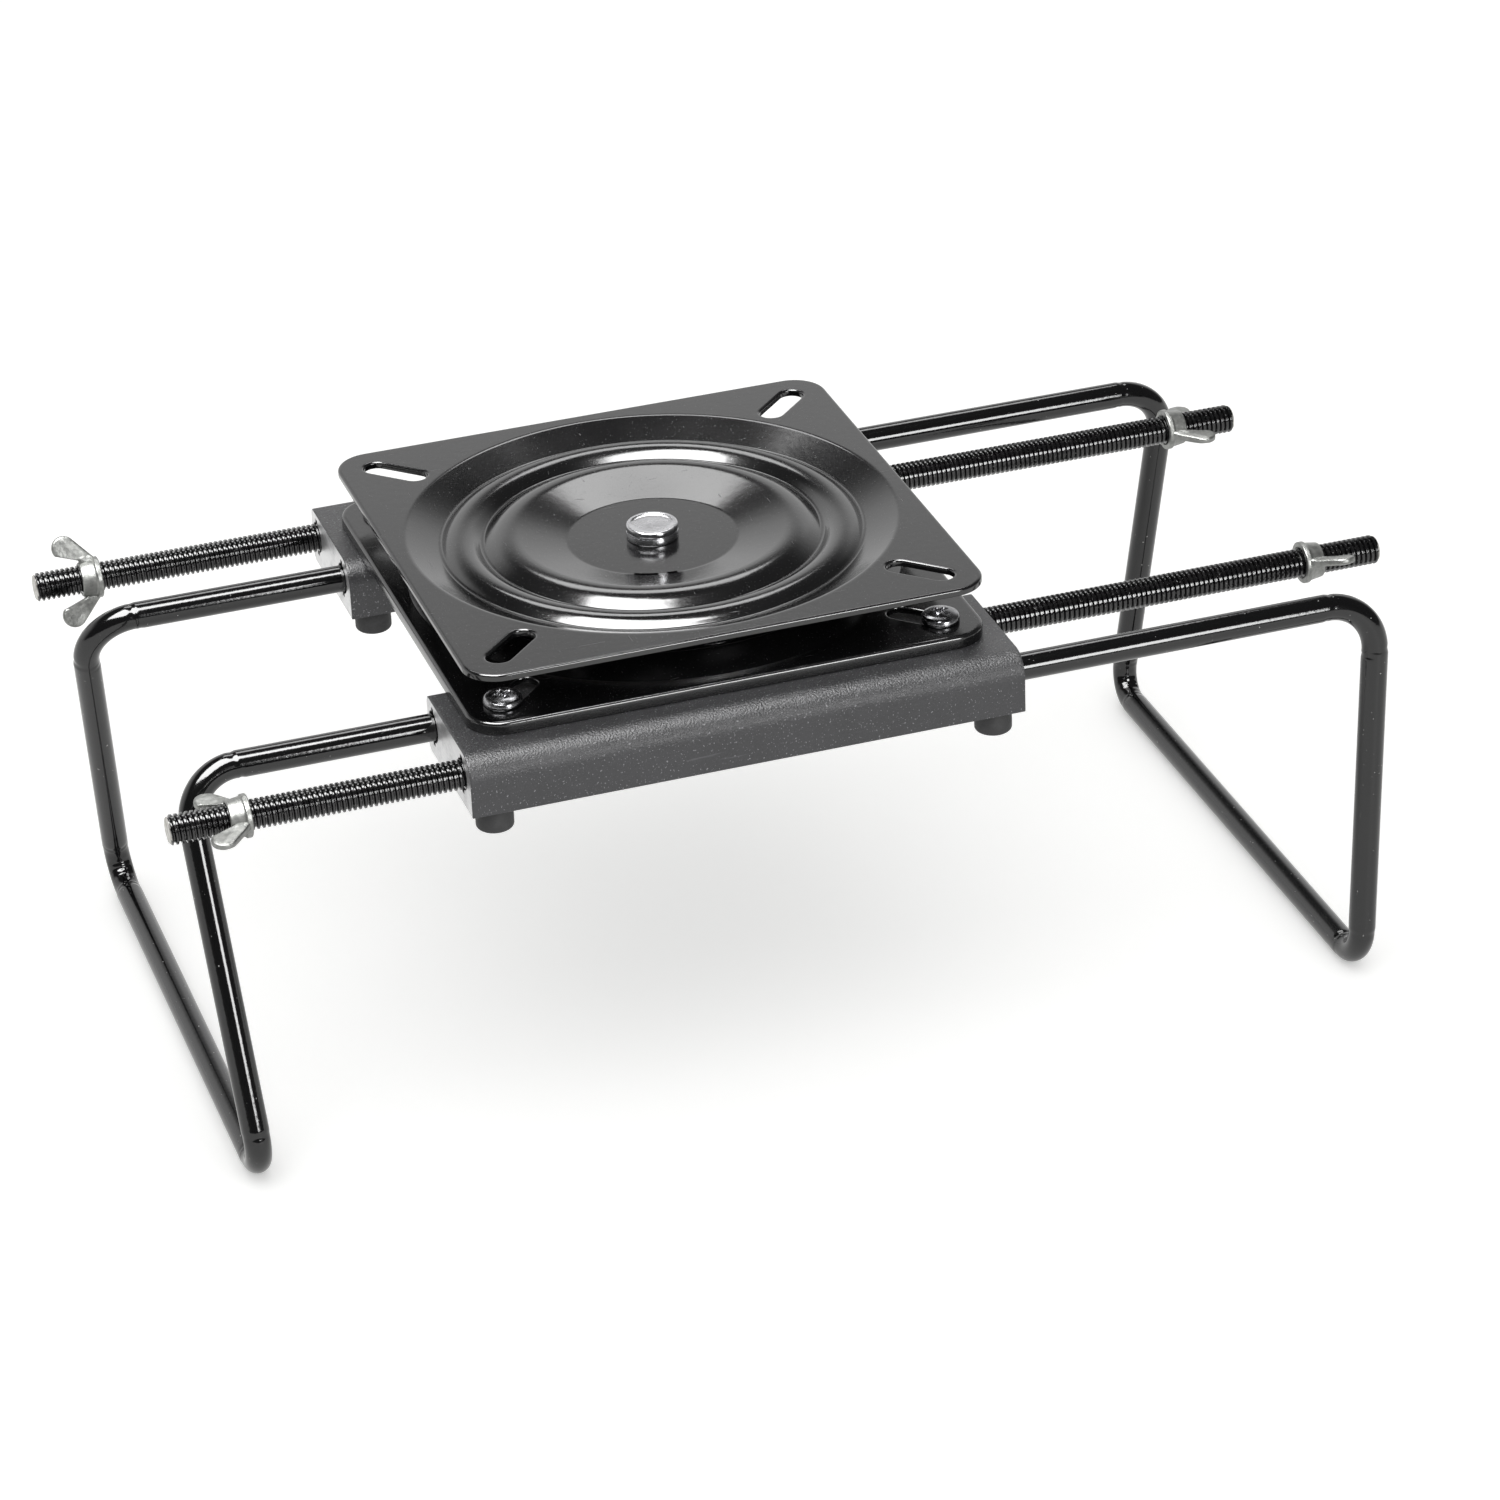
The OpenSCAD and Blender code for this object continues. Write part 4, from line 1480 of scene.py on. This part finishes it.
    def build(self, finishes: Finishes) -> bpy.types.Object:
        """Carries the bar's ring along its path, winds both threads and closes both ends.

        Args:
            finishes: the shared finishes.

        Returns:
            The frame's object.
        """
        path = self.path()
        s = self.stations(path)
        points, across, along = path.along(s)
        phi = np.linspace(0.0, 2 * np.pi, self.columns, endpoint=False)
        c, d = np.cos(phi)[:, None], np.sin(phi)[:, None]
        outward = c * across[:, None, :] + d * along[:, None, :]
        radius = self.radius(path, s, outward)[:, :, None]
        mould = Mould()
        mould.grid(points[:, None, :] + radius * outward, flip=True)
        rings = np.array(self.end_rings)[:, None, None] * (self.thread_r - self.chamfer)
        for far in (False, True):
            ribbon, coats = self.thread(path, far)
            mould.grid(ribbon, closed=False, finish=coats, flip=True)
            middle, up, side = path.along(np.array([path.length if far else 0.0]))
            mould.grid(middle + rings * (c * up + d * side), finish=2, flip=not far)
        return mould.piece(self.name, [finishes.bar, finishes.thread, finishes.cut_end], self.node,
                           (self.node,), self.crease)


@dataclass
class WingNut:
    """A cast wing nut on a bar's thread, in mm; x runs away from the rail, from the nut's face.

    The bore's chamfers are given by how far out and how far along they run, and the hub's neck by
    distance in from the collar's side, and x.
    """

    node: str
    side: Side
    face_x: float
    channel_y: float
    turn: float
    hub_len: float = 7.0
    hub_r: float = 7.2
    taper: float = 1.2
    bore_r: float = 5.05
    front_chamfer: tuple[float, float] = (0.55, 0.6)
    back_chamfer: tuple[float, float] = (0.25, 0.35)
    collar_w: float = 1.5
    collar_flat: float = 0.5
    collar_round: float = 0.45
    shoulder_r: float = 0.3
    shoulder_x: float = 1.6
    neck: tuple[tuple[float, float], ...] = ((0.5, 2.1), (0.62, 2.6))
    end_round: float = 0.5
    span: float = 32.0
    wing_t: float = 2.8
    sweep: float = 8.0
    tip_r: float = 4.2
    root_inset: float = 0.6
    front_angle: float = 140.0
    back_angle: float = -35.0
    root_sink: float = 0.4
    root_swell: float = 0.5
    swell_in: float = 0.6
    swell_w: float = 1.3
    tip_power: float = 0.45
    edge_power: float = 0.5
    flat_gain: float = 1.9
    face_share: float = 0.93
    fold_x: float = 5.4
    fold_slope: float = 0.75
    fold_h: float = 0.22
    fold_w: float = 1.1
    wing_rows: int = 26
    tip_rows: int = 18
    wing_columns: int = 44
    hub_columns: int = 64
    crease: float = 38.0

    def hub(self) -> np.ndarray:
        """Gives the hub as a turned profile about x: collar, neck and cone, and chamfered bore.

        Returns:
            rows by columns by 3 points.
        """
        r, b, n = self.hub_r, self.bore_r, self.hub_len
        (front_r, front_x), (back_r, back_x) = self.front_chamfer, self.back_chamfer
        collar, shoulder, end = self.collar_round, self.shoulder_r, self.end_round
        profile = np.concatenate([
            [[b, front_x], [b + front_r, 0.0], [r - self.collar_flat, 0.0]],
            arc(r - collar, collar, collar, 270, 360, steps=5), [[r, self.collar_w]],
            arc(r - shoulder, self.shoulder_x, shoulder, 0, 80, steps=3),
            [[r - inset, x] for inset, x in self.neck],
            arc(r - self.taper - end, n - end, end, 0, 90, steps=4),
            [[b + back_r, n], [b, n - back_x], [b, front_x]],
        ])
        a = np.linspace(0, 2 * np.pi, self.hub_columns, endpoint=False)
        radius, x = profile[:, :1], profile[:, 1:]
        return np.stack([x + 0 * a, radius * np.cos(a), radius * np.sin(a)], axis=-1)

    def edges(self, y: np.ndarray) -> tuple[np.ndarray, np.ndarray]:
        """Where a wing's front and back edge lie along the bar at each distance out from it.

        Each edge is level with the hub's end at the root, runs straight to the tip's circle, and
        then follows the circle.

        Args:
            y: distances out from the bar's middle.

        Returns:
            The two edges' places along the bar.
        """
        cx, cy = self.hub_len + self.sweep - self.tip_r, self.span / 2 - self.tip_r
        chord = np.sqrt(np.clip(self.tip_r ** 2 - (y - cy) ** 2, 0.0, None))
        root_y = self.hub_r - self.taper / 2
        found = []
        for root_x, angle, sign in ((self.root_inset, self.front_angle, -1),
                                    (self.hub_len - self.root_inset, self.back_angle, 1)):
            turn = math.radians(angle)
            met = (cx + self.tip_r * math.cos(turn), cy + self.tip_r * math.sin(turn))
            line = np.interp(y, [root_y, met[1]], [root_x, met[0]])
            found.append(np.where(y > met[1], cx + sign * chord, line))
        return found[0], found[1]

    def blade(self, up: int) -> np.ndarray:
        """One wing: flat sections with round edges, carried out from the hub to a round tip.

        A section runs from edge to edge. Its ends are round with the wing's half thickness, and a
        low fold runs across the wing from the hub's back corner to the tip.

        Args:
            up: 1 for the wing along +z, -1 for the other one.

        Returns:
            rows by columns by 3 points.
        """
        tip_y, half_t = self.span / 2 - self.tip_r, self.wing_t / 2
        tip_angles = np.radians(np.linspace(0, 90, self.tip_rows))
        y = np.concatenate([
            np.linspace(self.bore_r + self.root_sink, tip_y, self.wing_rows, endpoint=False),
            tip_y + self.tip_r * np.sin(tip_angles)])
        front, back = (edge[:, None] for edge in self.edges(y))
        y = y[:, None]
        close = np.sqrt(np.clip(1.0 - np.clip((y - tip_y) / self.tip_r, 0, 1) ** 2, 0, 1))
        swell = self.root_swell * hump(y, self.hub_r - self.swell_in, self.swell_w)
        thick = (half_t + swell) * close ** self.tip_power
        half = (back - front) / 2
        end_r = np.minimum(half_t, half)
        a = np.linspace(0, 2 * np.pi, self.wing_columns, endpoint=False)[None, :]
        flat = np.clip(self.flat_gain * np.cos(a), -1.0, 1.0)
        x = (front + back) / 2 + (half - end_r) * flat + end_r * np.cos(a)
        fold_at = self.fold_x + self.fold_slope * (y - self.hub_r)
        fold = self.fold_h * hump(x, fold_at, self.fold_w) * close
        depth = thick * self.face_share + fold
        depth = depth * np.sign(np.sin(a)) * np.abs(np.sin(a)) ** self.edge_power
        depth = np.clip(depth, -half_t - self.root_swell, half_t + self.root_swell)
        return np.stack([x, up * depth, up * (y + 0 * x)], axis=-1)

    def placed(self, points: np.ndarray) -> np.ndarray:
        """Turns the nut about its bar, faces it away from the rail and moves it to its place.

        Args:
            points: points about the nut's own face and axis.

        Returns:
            The same points in the model.
        """
        t = math.radians(self.turn)
        x, y, z = np.moveaxis(points, -1, 0)
        turned = np.stack([self.side.value * x, y * math.cos(t) - z * math.sin(t),
                           y * math.sin(t) + z * math.cos(t)], axis=-1)
        return turned + np.array([self.face_x, self.channel_y, PLACES.channel_z])

    def build(self, finishes: Finishes) -> bpy.types.Object:
        """Builds the hub and both wings and dresses them.

        Args:
            finishes: the shared finishes.

        Returns:
            The nut's object.
        """
        mould = Mould()
        for part in (self.hub(), self.blade(1), self.blade(-1)):
            mould.grid(self.placed(part), flip=self.side is Side.LEFT)
        return mould.piece(self.node.replace("nut_", "wing_nut_cast_"), [finishes.zinc], self.node,
                           (self.node,), self.crease)


@dataclass(frozen=True)
class Lamp:
    """A rectangular lamp that faces the object; azimuth counts in degrees from +Y towards +X."""

    name: str
    azimuth: float
    elevation: float
    size: tuple[float, float]
    watts: float
    diffuse: bool = False
    glossy: bool = True
    distance: float = 2.2
    aim_z: float = 0.08

    def hang(self) -> None:
        """Hangs the lamp at its distance in metres from the aim point."""
        data = bpy.data.lights.new(self.name, "AREA")
        data.shape = "RECTANGLE"
        data.size, data.size_y = self.size
        data.energy = self.watts
        lamp = bpy.data.objects.new(self.name, data)
        a, e = math.radians(self.azimuth), math.radians(self.elevation)
        away = Vector((math.sin(a) * math.cos(e), math.cos(a) * math.cos(e), math.sin(e)))
        lamp.location = away * self.distance + Vector((0, 0, self.aim_z))
        lamp.rotation_euler = away.to_track_quat("Z", "Y").to_euler()
        lamp.visible_camera = False
        lamp.visible_diffuse = self.diffuse
        lamp.visible_glossy = self.glossy
        bpy.context.scene.collection.objects.link(lamp)


@dataclass
class Studio:
    """Pale floor, soft light and the camera, in metres.

    The sweep behind the object fades over a band of heights, and over a band of directions; both
    are parts of the unit vector towards them.
    """

    floor_colour: str = "#f3f3f2"
    floor_glow: float = 0.42
    floor_half: float = 6.0
    foot_step: float = 0.0051
    foot_right_x: float = 0.1928
    foot_gap: float = 0.3898
    room: float = 0.1
    sweep: float = 1.12
    sweep_way: tuple[float, float, float] = (-0.174, 0.985, 0.0)
    sweep_heights: tuple[float, float] = (0.38, 0.62)
    sweep_sides: tuple[float, float] = (0.2, 0.6)
    fill: float = 0.66
    lamps: tuple[Lamp, ...] = (
        Lamp("soft_key", 200, 60, (2.4, 2.4), 16.0, diffuse=True, glossy=False, distance=2.4),
        Lamp("back_softbox", 14, 52, (1.2, 0.6), 12.0),
        Lamp("top_softbox", 232, 71, (1.7, 1.7), 185.0),
        Lamp("front_softbox", 163, 17, (0.7, 0.7), 26.0),
    )
    camera_place: tuple[float, float, float] = (-0.472276, -1.520062, 0.943391)
    camera_turn: tuple[float, float, float] = (61.310, 2.049, -18.688)
    lens: float = 125.255
    sensor: float = 36.0
    view_end: float = 50.0

    def floor(self) -> None:
        """Lays the floor through both foot bars: 5.1 mm higher under the left frame's."""
        x, y = np.array([[-1, 1, 1, -1], [-1, -1, 1, 1]]) * self.floor_half
        z = self.foot_step * (self.foot_right_x - x) / self.foot_gap
        mesh = bpy.data.meshes.new("floor")
        mesh.from_pydata(np.stack([x, y, z], axis=-1), [], [(0, 1, 2, 3)])
        f = Finish("pale_lit_acrylic", Roughness=0.7, IOR=1.3, Emission_Strength=self.floor_glow,
                   Emission_Color=linear(self.floor_colour))
        f.colour(self.floor_colour)
        mesh.materials.append(f.material)
        floor = bpy.data.objects.new("floor", mesh)
        bpy.context.scene.collection.objects.link(floor)

    def world(self) -> None:
        """Surrounds the object: white for the camera, soft grey for lighting, a sweep for gloss.

        Glossy rays see a pale sweep behind the object, that fades out between 22 and 38 degrees
        up, and a dim room above it and behind the camera.
        """
        world = bpy.data.worlds.new("photo_tent")
        bpy.context.scene.world = world
        world.use_nodes = True
        tree = world.node_tree
        tree.nodes.clear()
        path = add_node(tree, "ShaderNodeLightPath")
        way = add_node(tree, "ShaderNodeTexCoord").outputs["Generated"]
        up = add_node(tree, "ShaderNodeSeparateXYZ", None, {0: way})
        behind = add_node(tree, "ShaderNodeVectorMath", {"operation": "DOT_PRODUCT"},
                          {0: way, 1: self.sweep_way})
        low = add_node(tree, "ShaderNodeMapRange", {"interpolation_type": "SMOOTHSTEP"}, {
            "Value": up.outputs[2], "From Min": self.sweep_heights[0],
            "From Max": self.sweep_heights[1], "To Min": 1.0, "To Max": 0.0})
        far = add_node(tree, "ShaderNodeMapRange", None, {
            "Value": behind.outputs["Value"], "From Min": self.sweep_sides[0],
            "From Max": self.sweep_sides[1]})
        sweep = add_node(tree, "ShaderNodeMath", {"operation": "MULTIPLY"},
                         {0: low.outputs[0], 1: far.outputs[0]})
        band = add_node(tree, "ShaderNodeMapRange", None, {
            "Value": sweep.outputs[0], "To Min": self.room, "To Max": self.sweep})
        glossy = add_node(tree, "ShaderNodeMath", {"operation": "MAXIMUM"}, {
            0: path.outputs["Is Glossy Ray"], 1: path.outputs["Is Transmission Ray"]})
        lit = add_node(tree, "ShaderNodeMix", {"data_type": "FLOAT"},
                       {0: glossy.outputs[0], 2: self.fill, 3: band.outputs[0]})
        seen = add_node(tree, "ShaderNodeMix", {"data_type": "FLOAT"},
                        {0: path.outputs["Is Camera Ray"], 2: lit.outputs[0], 3: 1.0})
        ground = add_node(tree, "ShaderNodeBackground", None,
                          {"Color": (1, 1, 1, 1), "Strength": seen.outputs[0]})
        add_node(tree, "ShaderNodeOutputWorld", None, {"Surface": ground.outputs[0]})

    def camera(self) -> None:
        """Sets the camera at the photograph's viewing angle."""
        data = bpy.data.cameras.new("photo_camera")
        data.sensor_width = self.sensor
        data.sensor_fit = "HORIZONTAL"
        data.lens = self.lens
        data.clip_end = self.view_end
        camera = bpy.data.objects.new("photo_camera", data)
        camera.location = self.camera_place
        camera.rotation_euler = tuple(math.radians(a) for a in self.camera_turn)
        bpy.context.scene.collection.objects.link(camera)
        bpy.context.scene.camera = camera

    def build(self) -> None:
        """Builds floor, world, lamps and camera."""
        self.floor()
        self.world()
        for lamp in self.lamps:
            lamp.hang()
        self.camera()
        bpy.context.scene.view_settings.view_transform = "Standard"


def dress_cad_nodes(finishes: Finishes) -> None:
    """Gives the CAD nodes that stay in view their finishes."""
    dressed = {"race_balls": finishes.bright, "ball_cage": finishes.plain,
               "pivot_washer": finishes.plain, "tail_washer": finishes.plain}
    for name, material in dressed.items():
        mesh_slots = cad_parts[name].material_slots
        for mesh_slot in mesh_slots:
            mesh_slot.material = material
        if not mesh_slots:
            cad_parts[name].data.materials.append(material)


def main() -> None:
    """Builds every sub-assembly in order."""
    logging.basicConfig(level=logging.INFO, format="%(name)s: %(message)s")
    finishes = Finishes()
    inner, outer = PLACES.inner_channel_y, PLACES.outer_channel_y
    UpperPlate().build(finishes)
    LowerPlate().build(finishes)
    PivotPin().build(finishes)
    PlateScrews().build(finishes)
    for node, face_y, channels in (("near_rail", PLACES.near_rail_face, (-outer, -inner)),
                                   ("far_rail", PLACES.far_rail_face, (inner, outer))):
        Rail(f"{node}_extruded", node, face_y, channels).build(finishes)
    Bumpers().build(finishes)
    UFrame("left_frame_bent_bar", "left_frame", Side.LEFT, reach=183.0, arm_len=422.0,
           channel_y=inner, leg_h=126.4, foot_w=217.4, lean=8.5, skew=4.0).build(finishes)
    UFrame("right_frame_bent_bar", "right_frame", Side.RIGHT, reach=226.0, arm_len=420.0,
           channel_y=outer, leg_h=131.5, foot_w=218.0, lean=10.7).build(finishes)
    for node, side, face_x, y, turn in (
            ("nut_left_near", Side.LEFT, -188.02, -outer, 94.0),
            ("nut_left_far", Side.LEFT, -195.47, outer, 158.0),
            ("nut_right_near", Side.RIGHT, 190.47, -inner, 70.0),
            ("nut_right_far", Side.RIGHT, 188.51, inner, 88.0)):
        WingNut(node, side, face_x, y, turn).build(finishes)
    dress_cad_nodes(finishes)
    Studio().build()


if __name__ == "__main__":
    main()
